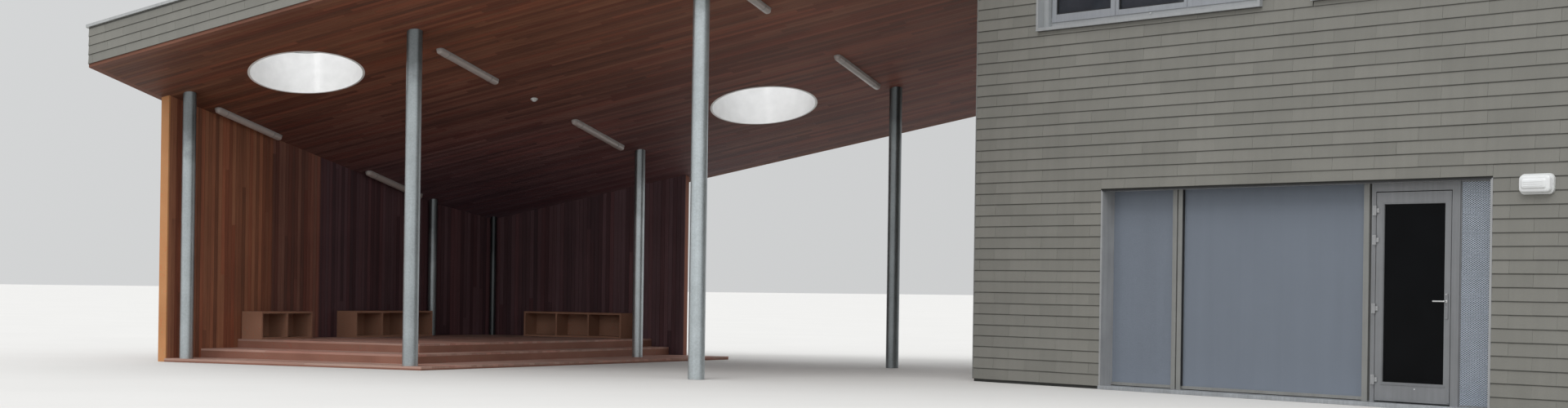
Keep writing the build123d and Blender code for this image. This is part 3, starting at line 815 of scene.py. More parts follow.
def slate_stretch(name, place, left, right, foot, top, tucked=0.0, seed=1, lean=0.0, course=COURSE,
                  first=FIRST_COURSE):
    """Slates on one stretch of wall, the last course tucked so far under what stands above."""
    return grow(name, SLATES, place, left=left, right=right, foot=foot, top=top, bond_start=BOND_START,
                lean=lean, width=SLATE_W, course=course, first=first, joint=SLATE_JOINT, thickness=SLATE_T,
                stand=SLATE_STAND, lap=SLATE_LAP, tucked=tucked, finish=slate, seed=seed)


def wall_side(turns, width, depth):
    """Place of a block side: X runs along it from its left end, seen from outside."""
    return spin(turns * math.pi / 2) @ shift(-width / 2, -depth / 2)


def bands(width, openings):
    """Stretches of one side round its openings, split where a course ends, tucked under what is above."""
    def course_line(z, rounding):
        return max(0.0, FIRST_COURSE + rounding((z - FIRST_COURSE) / COURSE) * COURSE)

    level = FIRST_COURSE
    stretches = []
    for (foot, head), lefts, wide in openings:
        low, high = max(FIRST_COURSE, course_line(foot, math.floor)), course_line(head, math.ceil)
        if low > level:
            stretches.append((0, width, level, low, SLATE_LAP))
        rights = [0.0] + [x + wide for x in lefts]
        stretches += [(a, b, low, high, SLATE_LAP) for a, b in zip(rights, lefts + [width])]
        for x in lefts:
            stretches += [(x, x + wide, a, b, tucked)
                          for a, b, tucked in ((low, foot, 0.0), (head, high, SLATE_LAP))
                          if b > a + LEAST_RISE]
        level = high
    return stretches + [(0, width, level, WALL_TOP, 0.0)]


def clad_block():
    """Slates round the block, left out at the windows and the wide opening."""
    lefts = sorted(x - BLOCK_LEFT for x in WIN_PLACES)
    upper = ((WIN_FOOT, WIN_TOP), lefts, WIN_W)
    wide = ((0.0, OPEN_TOP + HEAD_GAP), [OPEN_LEFT - BLOCK_LEFT], OPEN_RIGHT - OPEN_LEFT)
    for name, turns, width, depth, openings in (("front_slates", 0, BLOCK_W, BLOCK_D, (wide, upper)),
                                                ("right_slates", 1, BLOCK_D, BLOCK_W, ()),
                                                ("back_slates", 2, BLOCK_W, BLOCK_D, (upper,)),
                                                ("left_slates", 3, BLOCK_D, BLOCK_W, ())):
        place = wall_side(turns, width, depth)
        parts = [slate_stretch(f"{name}_{i}", place, *stretch, seed=3 + turns)
                 for i, stretch in enumerate(bands(width, openings))]
        fit(join(name, parts), "slate_wall")


def trim_corners():
    """Slim upright profiles where the slates of two sides meet."""
    work = bmesh.new()
    out = SLATE_STAND + 0.002
    for corner in ((-1, -1), (-1, 1), (1, -1), (1, 1)):
        xs, ys = [sorted((way * size / 2, way * (size / 2 + out)))
                  for way, size in zip(corner, (BLOCK_W, BLOCK_D))]
        bar(work, (xs[0], ys[0], FIRST_COURSE), (xs[1], ys[1], WALL_TOP), SOFT_EDGE)
    fit(piece("corner_profiles", work, guide_metal), "coping_metal")


def clad_fascias():
    """Four courses of slates along the canopy's edges, over a timber strip."""
    t = FASCIA_T
    far = CANOPY_BACK + t
    edges = {"front": ((-t, -t), (right_edge(-t), -t), (0, 1)), "left": ((-t, far), (-t, -t), (1, 0)),
             "back": ((right_edge(far), far), (-t, far), (0, -1)),
             "right": ((right_edge(-t), -t), (CORNER_S, CORNER_N), (-math.cos(TURN), math.sin(TURN)))}
    for name, (first, last, inward) in edges.items():
        start, end = [CANOPY @ Vector((s, n, soffit_z(s, n))) for s, n in (first, last)]
        along = end - start
        slope = math.atan2(along.z, math.hypot(along.x, along.y))
        level = math.cos(slope)
        place = turned(start, along, CANOPY.to_3x3() @ Vector((*inward, 0)))
        slates = slate_stretch(f"{name}_fascia_slates", place, 0, along.length, FASCIA_STRIP * level,
                               FASCIA_H * level, seed=11, lean=math.tan(slope), course=FASCIA_COURSE * level,
                               first=FASCIA_STRIP * level)
        fit(slates, "slate_wall")


clad_block()
trim_corners()
clad_fascias()


# Boards and sheet lengths, cut to the CAD solids

def board_tree():
    """Boards in rows, cut to the solid that comes in: X along, Y across, Z through their thickness."""
    tree, given = growth("board_rows", "start length across breadth low high board gap run joint")

    def offset(row):
        return chance(row, given.seed) * given.run

    rows = (given.breadth / given.board).step("CEIL")
    lengths = (given.length / given.run).step("CEIL") + 1.0
    row, number = counted(tree, lengths)
    along = (number - 0.5) * given.run + given.start + offset(row)
    across = (row + 0.5) * given.board + given.across
    spot = vector(tree, along, across, (given.low + given.high) / 2.0)
    points = put(tree, "GeometryNodePoints", {"Count": rows * lengths, "Position": spot})
    size = vector(tree, given.run - given.joint, given.board - given.gap, given.high - given.low)
    boards = real(repeated(points, cube(tree), scale=size))
    cut = shared(boards, given.mesh)
    x, y, _ = put(tree, "GeometryNodeInputPosition").axes()
    own_row = ((y - given.across) / given.board).step("FLOOR")
    own_length = ((x - given.start - offset(own_row)) / given.run).step("FLOOR")
    tone = chance(own_row * BOARD_STEP + own_length, given.seed)
    return finish_tree(tree, given, marked(cut, "tone", tone, "FACE"))


BOARDS = board_tree()


def cut_boards(name, node, place, depth, board, finish, seed=1, gap=BOARD_GAP, length=2.4, joint=0.003,
               across=None, lift=0.0):
    """Boards or sheet lengths within a CAD solid, between two depths of the given frame."""
    mesh = solid_copy(node, place, lift)
    least, most = reach(mesh)
    low, high = across or (least.y, most.y)
    return grow(name, BOARDS, place, mesh, start=least.x, length=most.x - least.x, across=low,
                breadth=high - low - 1e-4, low=depth[0], high=depth[1], board=board or high - low, gap=gap,
                run=length, joint=joint, finish=finish, seed=seed)


def board_soffit():
    """Strip boards under the canopy, cut round the rooflights."""
    boards = cut_boards("soffit_boards", "canopy_soffit", SLOPE, (-SPARE, SOFFIT_T + SPARE), SOFFIT_BOARD,
                        soffit_wood, 5)
    fit(boards, "soffit_timber", "canopy_soffit")


def board_wall(name, node, stretches, seed):
    """Upright boards on both sides of a timber wall over a dark core."""
    parts = []
    whole = {"length": 9.0, "joint": 0.0}
    for i, (start, end) in enumerate(stretches):
        a, b = (CANOPY @ Vector((*p, 0)) for p in (start, end))
        line = (b - a).normalized()
        place = framed(UP, line, UP.cross(line), a)
        least, most = reach(solid_copy(node, place))
        first, last = i == 0, i == len(stretches) - 1
        across = (least.y if first else 0.0, most.y if last else (b - a).length)
        for side, depth, finish in (("inner", (-SPARE, BOARD_T), wall_wood),
                                    ("outer", (TIMBER_T - BOARD_T, TIMBER_T + 0.03), outer_wood)):
            parts.append(cut_boards(f"{name}_{side}_{i}", node, place, depth, WALL_BOARD, finish, seed + i,
                                    across=across, **whole))
        low = across[0] + (BOARD_T if first else 0.0)
        high = across[1] - (BOARD_T if last else 0.0)
        inside = (BOARD_T, TIMBER_T - BOARD_T)
        for label, span, finish in (("core", (low, high), backing), ("start", (across[0], low), outer_wood),
                                    ("end", (high, across[1]), outer_wood)):
            if span[1] > span[0]:
                parts.append(cut_boards(f"{name}_{label}_{i}", node, place, inside, None, finish, seed + i,
                                        gap=0.0, across=span, **whole))
    fit(join(name, parts), "wall_timber", node)


def board_deck():
    """Deck boards on each level over closed risers."""
    for i, level in enumerate(("lower", "middle", "upper")):
        node = f"{level}_deck"
        place = CANOPY @ shift(z=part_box(node)[1].z)
        boards = cut_boards(f"{level}_deck_boards", node, place, (-DECK_T, SPARE), DECK_BOARD, deck_wood,
                            21 + i, length=3.1)
        risers = cut_boards(f"{level}_deck_risers", node, place, (-1.0, -DECK_T), None, riser_wood_painted_shade, gap=0.0,
                            length=30.0, joint=0.0)
        fit(join(f"{level}_deck_timber", [boards, risers]), "deck_timber", node)


def lay_membrane():
    """Lapped seams of the roof sheets, a metre apart."""
    flat = shift(z=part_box("flat_roof")[1].z)
    for roof, place, level in (("flat_roof", flat, 0.0), ("canopy_roof", SLOPE, ROOF_UP)):
        laps = cut_boards(f"{roof}_laps", roof, place, (level, level + SPARE), SHEET_W, membrane,
                          gap=SHEET_GAP, length=40.0, joint=0.0, lift=LAP_T)
        fit(laps, "roof_membrane")


def turn_up_membrane():
    """Upstands of the roof sheets against the parapet and the canopy's fascias."""
    low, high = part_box("flat_roof")
    work, t, top = bmesh.new(), UPSTAND_T, high.z + UPSTAND_H
    for x in (low.x, high.x - t):
        bar(work, (x, low.y, high.z), (x + t, high.y, top), FINE_EDGE)
    for y in (low.y, high.y - t):
        bar(work, (low.x + t, y, high.z), (high.x - t, y + t, top), FINE_EDGE)
    fit(piece("parapet_upstand", work, membrane), "roof_membrane")
    work, top = bmesh.new(), FASCIA_H - 0.001
    bar(work, (FASCIA_T, FASCIA_T, ROOF_UP), (CANOPY_BACK / math.cos(TURN), FASCIA_T + t, top), FINE_EDGE)
    work.transform(RIGHT_SIDE)
    far, edge = (right_edge(n) - FASCIA_T / math.cos(TURN) - 2 * t for n in (CANOPY_BACK, 0))
    for a, b in (((0, 0), (edge, t)), ((0, CANOPY_BACK - t), (far, CANOPY_BACK)),
                 ((0, t), (t, CANOPY_BACK - t))):
        bar(work, (*a, ROOF_UP), (*b, top), FINE_EDGE)
    work.transform(SLOPE)
    fit(piece("canopy_upstand", work, membrane), "roof_membrane")


def joint_tree():
    """Open joints cut across a folded sheet that comes in: X along the sheet, the joints on its line."""
    tree, given = growth("sheet_joints", "start pitch count joint reach")
    along = given.start + put(tree, "GeometryNodeInputIndex") * given.pitch
    points = put(tree, "GeometryNodePoints", {"Count": given.count, "Position": vector(tree, along)})
    slots = real(repeated(points, cube(tree), scale=vector(tree, given.joint, given.reach, given.reach)))
    return finish_tree(tree, given, carved(given.mesh, slots))


JOINTS = joint_tree()


def part_coping(name, node, legs):
    """Folded coping sheets of a CAD ring, parted by open joints along each side."""
    mesh = solid_copy(node, Matrix.Identity(4))
    for place, length in legs:
        count = max(1, round(length / COPING_LENGTH))
        mesh.transform(place.inverted())
        sheets = grow(name, JOINTS, place, mesh, start=length / count / 2, pitch=length / count, count=count,
                      joint=0.004, reach=0.9, finish=coping_metal)
        mesh = sheets.data
        if place is not legs[-1][0]:
            bpy.data.objects.remove(sheets)
    fit(sheets, "coping_metal", node)


def fold_copings():
    """Coping sheets round the block and round the canopy."""
    sides = [(wall_side(turns, *size) @ shift(z=WALL_TOP), size[0])
             for turns, size in enumerate(((BLOCK_W, BLOCK_D), (BLOCK_D, BLOCK_W)) * 2)]
    part_coping("block_coping_sheets", "parapet_coping", sides)
    lift = shift(z=FASCIA_H)
    part_coping("canopy_coping_sheets", "canopy_coping", [
        (SLOPE @ lift, right_edge(0)), (SLOPE @ shift(0, CANOPY_BACK, FASCIA_H), right_edge(CANOPY_BACK)),
        (SLOPE @ lift @ spin(QUARTER), CANOPY_BACK),
        (SLOPE @ lift @ RIGHT_SIDE, CANOPY_BACK / math.cos(TURN))])


board_soffit()
board_wall("left_wall_timber", "left_timber_wall", ((WALL_START, WALL_BEND), (WALL_BEND, WALL_CORNER)), 41)
board_wall("back_wall_timber", "back_timber_wall", ((WALL_CORNER, (BACK_WALL_END, WALL_CORNER[1])),), 51)
board_deck()
lay_membrane()
turn_up_membrane()
fold_copings()


# Small repeats: screw heads, ribs and the expanded sheet

def screw_tree():
    """Screw heads with a hollow, one on each point that comes in."""
    tree, given = growth("screw_heads", "radius height facing")
    head = put(tree, "GeometryNodeMeshCone", {"Vertices": 12, "Radius Top": given.radius * 0.8,
                                              "Radius Bottom": given.radius, "Depth": given.height})
    dent = put(tree, "GeometryNodeMeshCylinder", {"Vertices": 6, "Radius": given.radius * 0.4,
                                                  "Depth": given.height}, fill_type="NGON")
    deep = put(tree, "GeometryNodeTransform", {"Geometry": dent, "Translation": vector(tree, z=given.height)})
    hollow = carved(head, deep, "EXACT")
    return finish_tree(tree, given, repeated(given.mesh, hollow, rotation=vector(tree, given.facing)))


def rib_tree():
    """Level ribs one above another: X along, Y out to the front, Z up."""
    tree, given = growth("ribs", "length height depth pitch count")
    line = put(tree, "GeometryNodeMeshLine", {"Count": given.count, "Offset": vector(tree, z=given.pitch)})
    rod = put(tree, "GeometryNodeMeshCylinder", {"Vertices": 10, "Radius": 0.5, "Depth": 1.0})
    ribs = repeated(line, rod, rotation=(0, QUARTER, 0),
                    scale=vector(tree, given.height, given.depth, given.length))
    return finish_tree(tree, given, ribs)


def diamond_tree():
    """Expanded sheet: twisted strands round diamond holes, X across, Z up, centred on Y = 0."""
    tree, given = growth("expanded_sheet", "width height columns rows strand thickness twist")
    points = put(tree, "GeometryNodePoints", {"Count": given.columns * given.rows})
    row, column = counted(tree, given.columns)
    wide, tall = given.width / given.columns, given.height / given.rows
    spot = vector(tree, (column + 0.5) * wide, 0.0, (row + 0.5) * tall)
    lean = tall.step("ARCTAN2", wide) * ((row + column) % 2.0 * 2.0 - 1.0)
    across = (wide * wide + tall * tall).step("SQRT")
    strands = repeated(moved(points, spot), cube(tree), rotation=vector(tree, given.twist, lean),
                       scale=vector(tree, across, given.thickness, given.strand))
    return finish_tree(tree, given, strands)


SCREWS = screw_tree()
RIBS = rib_tree()
DIAMONDS = diamond_tree()


def screws(name, spots, radius=0.0045, height=0.0025, front=True):
    """Steel screw heads at the given places on surfaces that face the front or the back."""
    mesh = bpy.data.meshes.new(name + "_spots")
    mesh.from_pydata(spots, [], [])
    return grow(name, SCREWS, base=mesh, radius=radius, height=height, facing=QUARTER * (1 if front else -1),
                finish=satin_steel)


# Wide opening: screens, panel and fittings

CLOTH_COLUMNS, CLOTH_ROWS = 60, 40
CLOTH_HALF = 0.0006
RIPPLE = 0.0010
BILLOW = 0.0016
BRUSH_W = 0.007
BRUSH_DEEP = 0.028
FOOT_SEAL = 0.009
HEAD_SHADOW_LINE = 0.015
HEAD_INSET = 0.016
PANEL_RIM = 0.014


def hang_screen(node, folds):
    """Sun screen cloth held in its guides, with faint upright ripples."""
    low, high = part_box(node)
    work = bmesh.new()

    def corner(i, j, thick):
        u, v = i / CLOTH_COLUMNS, j / CLOTH_ROWS
        ripple = RIPPLE * math.sin(u * folds * 2 * math.pi) * math.sin(v * math.pi)
        billow = BILLOW * math.sin(u * math.pi) * math.sin(v * math.pi)
        middle = (low.y + high.y) / 2 + ripple - billow
        return work.verts.new((low.x + u * (high.x - low.x), middle + thick, low.z + v * (high.z - low.z)))

    layers = [[[corner(i, j, thick) for j in range(CLOTH_ROWS + 1)] for i in range(CLOTH_COLUMNS + 1)]
              for thick in (-CLOTH_HALF, CLOTH_HALF)]
    for layer in layers:
        for a, b in zip(layer, layer[1:]):
            for j in range(CLOTH_ROWS):
                work.faces.new((a[j], b[j], b[j + 1], a[j + 1]))
    front, back = [layer[0] + [line[-1] for line in layer[1:-1]] + layer[-1][::-1]
                   + [line[0] for line in layer[-2:0:-1]] for layer in layers]
    skin(work, front, back)
    cloth = piece(f"{node}_cloth", work, screen_cloth, smooth=True)
    fit(cloth, "screen_cloth", node)


def edge_screens():
    """Black brush seals where the cloth enters its guides and under the bottom bars, and a black strip along
    the head as a painted shadow line.
    """
    work = bmesh.new()
    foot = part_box("screen_bottom_bars")[0]
    for node, sides in (("narrow_screen", (1,)), ("wide_screen", (0, 1))):
        low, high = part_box(node)
        for side in sides:
            x = (low.x, high.x - BRUSH_W)[side]
            bar(work, (x, low.y - BRUSH_DEEP, low.z), (x + BRUSH_W, low.y, high.z), FINE_EDGE)
        bar(work, (low.x, foot.y - 0.004, foot.z), (high.x, foot.y, foot.z + FOOT_SEAL), FINE_EDGE)
    # A black strip over the lining's head edge: a painted shadow line along the head
    low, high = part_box("opening_lining")
    top = OPEN_TOP + 0.001
    bar(work, (low.x + HEAD_INSET, low.y - 0.003, top - HEAD_SHADOW_LINE), (high.x - HEAD_INSET, low.y, top),
        FINE_EDGE)
    fit(piece("screen_seals_and_head_shadow_line", work, rubber), "screen_cloth")


def weave_panel():
    """Expanded metal sheet in a slim frame over the fixed panel right of the door."""
    low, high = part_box("perforated_panel")
    rim = PANEL_RIM
    sheet = grow("expanded_sheet", DIAMONDS, shift(low.x + rim, low.y - 0.004, low.z + rim),
                 width=high.x - low.x - 2 * rim, height=high.z - low.z - 2 * rim, columns=22, rows=214,
                 strand=0.0062, thickness=0.0018, twist=0.55, finish=mesh_metal)
    fit(sheet, "perforated_sheet")
    work = bmesh.new()
    ring(work, (low.x, low.y - 0.009, low.z), (high.x, low.y, high.z), rim)
    fit(piece("panel_frame", work, door_metal), "door_paint")


def rib_threshold():
    """Ribs along the threshold's front."""
    low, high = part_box("threshold")
    ribs = grow("threshold_ribs", RIBS, shift((low.x + high.x) / 2, low.y, low.z + 0.012),
                length=high.x - low.x - 0.01, height=0.005, depth=0.005, pitch=0.011, count=3,
                finish=threshold_metal)
    fit(ribs, "threshold_metal")


# Glazed door

BEAD = 0.014
SEAL = 0.006
SEAL_OUT = 0.004
DRAIN_CAP = (BLOCK_LEFT + 7.24, 0.207)
HINGE_LEVELS = (0.294, 1.088, 1.854, 2.183)
HINGE_OUT = 0.011
LEVER_R = 0.009
BEND_START = 0.55
BEND_ALONG = (0.002, 0.022, 0.08)
KEY_UP = 0.075
KEY_R = 0.0085
KEY_OUT = 0.008
PLATE_SCREW_UP = 0.015
PLATE_SCREW_DOWN = 0.06
BAR_INSET = 0.01
STOP_OUT = 0.008
STOP_LAP = 0.002
STOP_FOOT = 0.012
STOP_DEPTHS = (0.001, 0.005)

# How far the weather bar and the sweep stand out of the leaf, and their levels against pane and leaf
WEATHER_BAR = (0.006, -0.016, -0.004)
SWEEP = (0.010, 0.004, 0.022)

# Radius and height of each loop of the drain cap and of the levers' roses
CAP_LOOPS = ((0.008, 0), (0.008, 0.002), (0.0065, 0.004), (0.002, 0.0045))
ROSE_LOOPS = ((0.016, 0), (0.016, 0.004), (0.012, 0.006))

# Inset, share of the depth and corner radius of each loop of the lock plates
PLATE_LOOPS = ((0, 0, 0.012), (0, 0.75, 0.012), (0.003, 1, 0.009))


def fit_door():
    """Beads, gaskets, weather bar, drain cap and sweep on the leaf."""
    low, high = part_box("door_leaf")
    pane, pane_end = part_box("door_glass")
    face = low.y
    work = bmesh.new()
    ring(work, (pane.x, face + 0.002, pane.z), (pane_end.x, pane.y, pane_end.z), BEAD)
    ring(work, (pane.x, pane_end.y, pane.z), (pane_end.x, high.y - 0.002, pane_end.z), BEAD)
    out, foot, head = WEATHER_BAR
    bar(work, (pane.x - BAR_INSET, face - out, pane.z + foot), (pane_end.x + BAR_INSET, face, pane.z + head),
        0.002)
    out, foot, head = SWEEP
    bar(work, (low.x + BAR_INSET, face - out, low.z + foot), (high.x - BAR_INSET, face, low.z + head), 0.003)
    fit(piece("leaf_beads", work, door_metal), "door_paint", body="door")

    work = bmesh.new()
    for front, back in ((pane.y - SEAL_OUT, pane.y), (pane_end.y, pane_end.y + SEAL_OUT)):
        ring(work, (pane.x + BEAD, front, pane.z + BEAD), (pane_end.x - BEAD, back, pane_end.z - BEAD), SEAL,
             FINE_EDGE)
    bar(work, (low.x + 0.02, face + 0.02, low.z - 0.007), (high.x - 0.02, face + 0.03, low.z), FINE_EDGE)
    fit(piece("leaf_gaskets", work, rubber), "frame_paint", body="door")

    work = bmesh.new()
    stack(work, [circle(r, z, 20) for r, z in CAP_LOOPS])
    spot = shift(DRAIN_CAP[0], face, DRAIN_CAP[1]) @ spin(QUARTER, "X")
    fit(piece("leaf_drain_cap", work, white_plastic, spot, smooth=True), "white_plastic", body="door")

    work = bmesh.new()
    near, far = [high.y + depth for depth in STOP_DEPTHS]
    top = high.z + STOP_OUT
    for x in (low.x - STOP_OUT, high.x - STOP_LAP):
        bar(work, (x, near, low.z - STOP_FOOT), (x + STOP_OUT + STOP_LAP, far, top), FINE_EDGE)
    bar(work, (low.x + STOP_LAP, near, high.z - STOP_LAP), (high.x - STOP_LAP, far, top), FINE_EDGE)
    fit(piece("frame_gasket", work, rubber), "frame_paint")


def fit_lock():
    """Rounded lock plates with a key cylinder and screws on both faces."""
    plates, heads = [], []
    low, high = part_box("door_lock_plates")
    leaf_low, leaf_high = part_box("door_leaf")
    centre = (low + high) / 2
    lever_z = (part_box("door_levers")[0].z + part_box("door_levers")[1].z) / 2
    tall, wide = high.z - low.z, high.x - low.x
    for side, face, deep in ((0, leaf_low.y, leaf_low.y - low.y), (1, leaf_high.y, high.y - leaf_high.y)):
        turn = spin(-QUARTER if side else QUARTER, "X")
        work = bmesh.new()
        moulded(work, wide, tall, deep, PLATE_LOOPS)
        plates.append(piece(f"lock_plate_{side}", work, door_metal, shift(centre.x, face, centre.z) @ turn,
                            smooth=True))
        work = bmesh.new()
        out = deep + KEY_OUT
        stack(work, [circle(r, z, 20) for r, z in ((KEY_R, 0), (KEY_R, out - 0.002), (KEY_R - 0.0015, out))])
        bar(work, (-0.001, -0.005, out), (0.001, 0.005, out + 0.0004))
        heads.append(piece(f"key_cylinder_{side}", work, satin_steel,
                           shift(centre.x, face, lever_z + KEY_UP) @ turn, smooth=True))
    fit(join("lock_plates", plates), "door_paint", "door_lock_plates", body="door")
    for front, y in ((True, low.y), (False, high.y)):
        spots = [(centre.x, y, z) for z in (low.z + PLATE_SCREW_UP, lever_z - PLATE_SCREW_DOWN)]
        heads.append(screws("lock_screws", spots, radius=0.0035, height=0.002, front=front))
    fit(join("lock_cylinders", heads), "steel_fittings", body="door")


def bend_levers():
    """Round lever handles bent from one bar, with a rose at the plate."""
    low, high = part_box("door_levers")
    plate_low, plate_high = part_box("door_lock_plates")
    z = (low.z + high.z) / 2
    x = high.x - LEVER_R
    parts = []
    for face, out in ((plate_low.y - 0.0003, low.y + LEVER_R), (plate_high.y + 0.0003, high.y - LEVER_R)):
        route = [(x, face, z), (x, face + (out - face) * BEND_START, z),
                 *((x - along, out, z) for along in BEND_ALONG), (low.x, out, z)]
        work = bent_bar(route, LEVER_R)
        away = 1 if out > face else -1
        stack(work, [[Vector((x + p.x, face + away * p.z, z + p.y)) for p in circle(radius, rise, 24)]
                     for radius, rise in ROSE_LOOPS])
        parts.append(piece(f"lever_{away}", work, satin_steel, smooth=True))
    fit(join("bent_levers", parts), "steel_fittings", "door_levers", body="lever")


def screw_hinges():
    """Screw heads on the hinge plates."""
    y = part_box("door_leaf")[0].y - HINGE_OUT
    fixed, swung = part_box("frame_hinges")[0].x + 0.012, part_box("leaf_hinges")[1].x - 0.010
    for name, body, x, apart in (("frame_hinge_screws", "building", fixed, 0.042),
                                 ("leaf_hinge_screws", "door", swung, 0.014)):
        spots = [(x, y, z + d) for z in HINGE_LEVELS for d in (-apart, apart)]
        fit(screws(name, spots), "steel_fittings", body=body)


# Upper windows

SURROUND_T = 0.04
WIN_FRAME_W = 0.055
WIN_FRAME_FOOT = 0.14
PANES = 3
GUIDE_W = 0.09
STILE_W = 0.082
SASH_GAP = 0.012
SASH_OVER = 0.03
SASH_FOOT = 0.070
SASH_HEAD = 0.022
INTO_FRAME = -0.002
GUIDE_OUT = 0.062
SASH_OUT = 0.010
CAP_OUT = 0.018
CAP_HALF = 0.014
CAP_LEVELS = (-0.095, -0.083)


def fit_windows():
    """Screen guides, two sashes beside a fixed light, gaskets and a drain cap on the four upper windows."""
    guides, sashes, seals, caps = [bmesh.new() for _ in range(4)]
    light = (WIN_W - 2 * SURROUND_T - WIN_FRAME_W * (PANES + 1)) / PANES
    low, high = WIN_FOOT + SURROUND_T, WIN_TOP - SURROUND_T
    z0, z1 = low + WIN_FRAME_FOOT, high - WIN_FRAME_W
    frame_front, pane_front = -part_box("window_frames")[0].y, -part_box("window_glass")[0].y
    beside_guide = GUIDE_W - WIN_FRAME_W + SASH_GAP
    beside_sash = -(WIN_FRAME_W - SASH_GAP) / 2
    for side in (-1, 1):
        rail, sash, cap = [sorted((side * (frame_front + a), side * (frame_front + b)))
                           for a, b in ((INTO_FRAME, GUIDE_OUT), (INTO_FRAME, SASH_OUT), (SASH_OUT, CAP_OUT))]
        pane = sorted((side * (pane_front - 0.001), side * (frame_front + INTO_FRAME)))
        for left in WIN_PLACES:
            for x in (left + SURROUND_T, left + WIN_W - SURROUND_T - GUIDE_W):
                bar(guides, (x, rail[0], low), (x + GUIDE_W, rail[1], high), 0.002)
            for i in range(PANES):
                a = left + SURROUND_T + WIN_FRAME_W + i * (light + WIN_FRAME_W)
                b = a + light
                a += beside_guide if i == 0 else beside_sash
                b -= beside_guide if i == PANES - 1 else beside_sash
                over = SASH_OVER if i in (0, PANES - 1) else 0.0
                side_w = STILE_W - SASH_OVER + over
                ring(sashes, (a, sash[0], z0 - SASH_FOOT), (b, sash[1], z1 + SASH_HEAD), side_w,
                     SASH_FOOT + over, SASH_HEAD + over)
                ring(seals, (a + side_w, pane[0], z0 + over), (b - side_w, pane[1], z1 - over), BEAD,
                     edge=FINE_EDGE)
            middle = left + WIN_W / 2
            foot, head = [z0 + level for level in CAP_LEVELS]
            bar(caps, (middle - CAP_HALF, cap[0], foot), (middle + CAP_HALF, cap[1], head), 0.002)
    for name, work, finish in (("window_guides", guides, window_metal), ("window_sashes", sashes, sash_metal),
                               ("window_gaskets", seals, rubber)):
        fit(piece(name, work, finish), "frame_paint")
    fit(piece("window_drain_caps", caps, white_plastic), "white_plastic")


# Lights and sensor

LIGHT_LEN = 1.56
LIGHT_W = 0.12
LIGHT_TURN = 0.0132
LIGHTS = ((0.37, 2.9), (4.26, 2.92), (8.69, 2.92), (0.55, 6.46), (4.39, 6.46), (8.82, 6.48))
CLIP_PLACE = 0.36
CLIP_HALF = 0.009
SENSOR = (4.34, 4.61)
RIB_PITCH = 0.021

# Inset from the rim, share of the depth and corner radius of each loop of the bulkhead lens
LENS_LOOPS = ((0, 0.0, 0.042), (0, 0.55, 0.042), (0.004, 0.66, 0.040), (0.012, 0.75, 0.036),
              (0.024, 0.80, 0.030), (0.036, 0.80, 0.026), (0.040, 0.84, 0.024), (0.044, 0.93, 0.022),
              (0.052, 0.98, 0.018), (0.062, 1.0, 0.012))

# Inset and depth of each loop of the luminaires, and half the outline of their clips
TRAY_LOOPS = ((0, 0), (0, 0.014), (0.002, 0.017), (0.008, 0.018))
DIFFUSER_LOOPS = ((0.007, 0.012), (0.007, 0.035), (0.010, 0.046), (0.017, 0.057), (0.027, 0.065),
                  (0.038, 0.070), (0.050, 0.073))
CLIP_OUTLINE = ((0.0585, 0.0), (0.0585, 0.036), (0.053, 0.052), (0.037, 0.0665), (0.022, 0.0725),
                (0.008, 0.0748))

# Radius and height of each loop of the sensor
SENSOR_LOOPS = ((0.054, 0), (0.054, -0.010), (0.051, -0.014), (0.040, -0.016), (0.038, -0.018),
                (0.035, -0.028), (0.027, -0.037), (0.015, -0.043), (0.004, -0.0447))


def mould_bulkhead():
    """Bulkhead light: rounded lens with a raised panel and level ribs, in a slim rim."""
    low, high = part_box("bulkhead_light_lens")
    wide, tall, deep = high.x - low.x, high.z - low.z, high.y - low.y
    across, middle = (low.x + high.x) / 2, (low.z + high.z) / 2
    work = bmesh.new()
    moulded(work, wide, tall, deep, LENS_LOOPS)
    lens = piece("bulkhead_lens", work, lens_plastic, shift(across, high.y, middle) @ spin(QUARTER, "X"),
                 smooth=True)
    ribs = grow("bulkhead_ribs", RIBS, shift(across, low.y + 0.004, middle - RIB_PITCH), length=wide - 0.15,
                height=0.011, depth=0.014, pitch=RIB_PITCH, count=3, finish=lens_plastic)
    fit(join("bulkhead_lens", [lens, ribs]), "opal_plastic", "bulkhead_light_lens")
    base_low, base_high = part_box("bulkhead_light_base")
    spots = [(x, base_low.y - 0.001, middle) for x in (base_low.x + 0.009, base_high.x - 0.009)]
    fit(screws("bulkhead_screws", spots, radius=0.005), "steel_fittings")


def mould_ceiling_lights():
    """Long luminaires: a shallow tray, a round-ended diffuser and two clips each."""
    trays, diffusers, clips = [bmesh.new() for _ in range(3)]
    section = list(CLIP_OUTLINE) + [(-y, d) for y, d in reversed(CLIP_OUTLINE)]
    for s, n in LIGHTS:
        place = on_soffit(s, n, along=(LIGHT_TURN, 1))
        for work, loops in ((trays, TRAY_LOOPS), (diffusers, DIFFUSER_LOOPS)):
            stack(work, [[place @ p for p in rounded(LIGHT_LEN - 2 * inset, LIGHT_W - 2 * inset,
                                                     LIGHT_W / 2 - inset - 0.0005, -depth, 10)]
                         for inset, depth in loops])
        for end in (-1, 1):
            spot = place @ shift(end * LIGHT_LEN * CLIP_PLACE)
            stack(clips, [[spot @ Vector((x, y, -d)) for y, d in section] for x in (-CLIP_HALF, CLIP_HALF)])
    tray = piece("light_trays", trays, tray_plastic, smooth=True)
    diffuser = piece("light_diffusers", diffusers, tube_plastic, smooth=True)
    clip = piece("light_clips", clips, tray_plastic)
    fit(join("ceiling_luminaires", [diffuser, tray, clip]), "opal_plastic", "ceiling_lights")


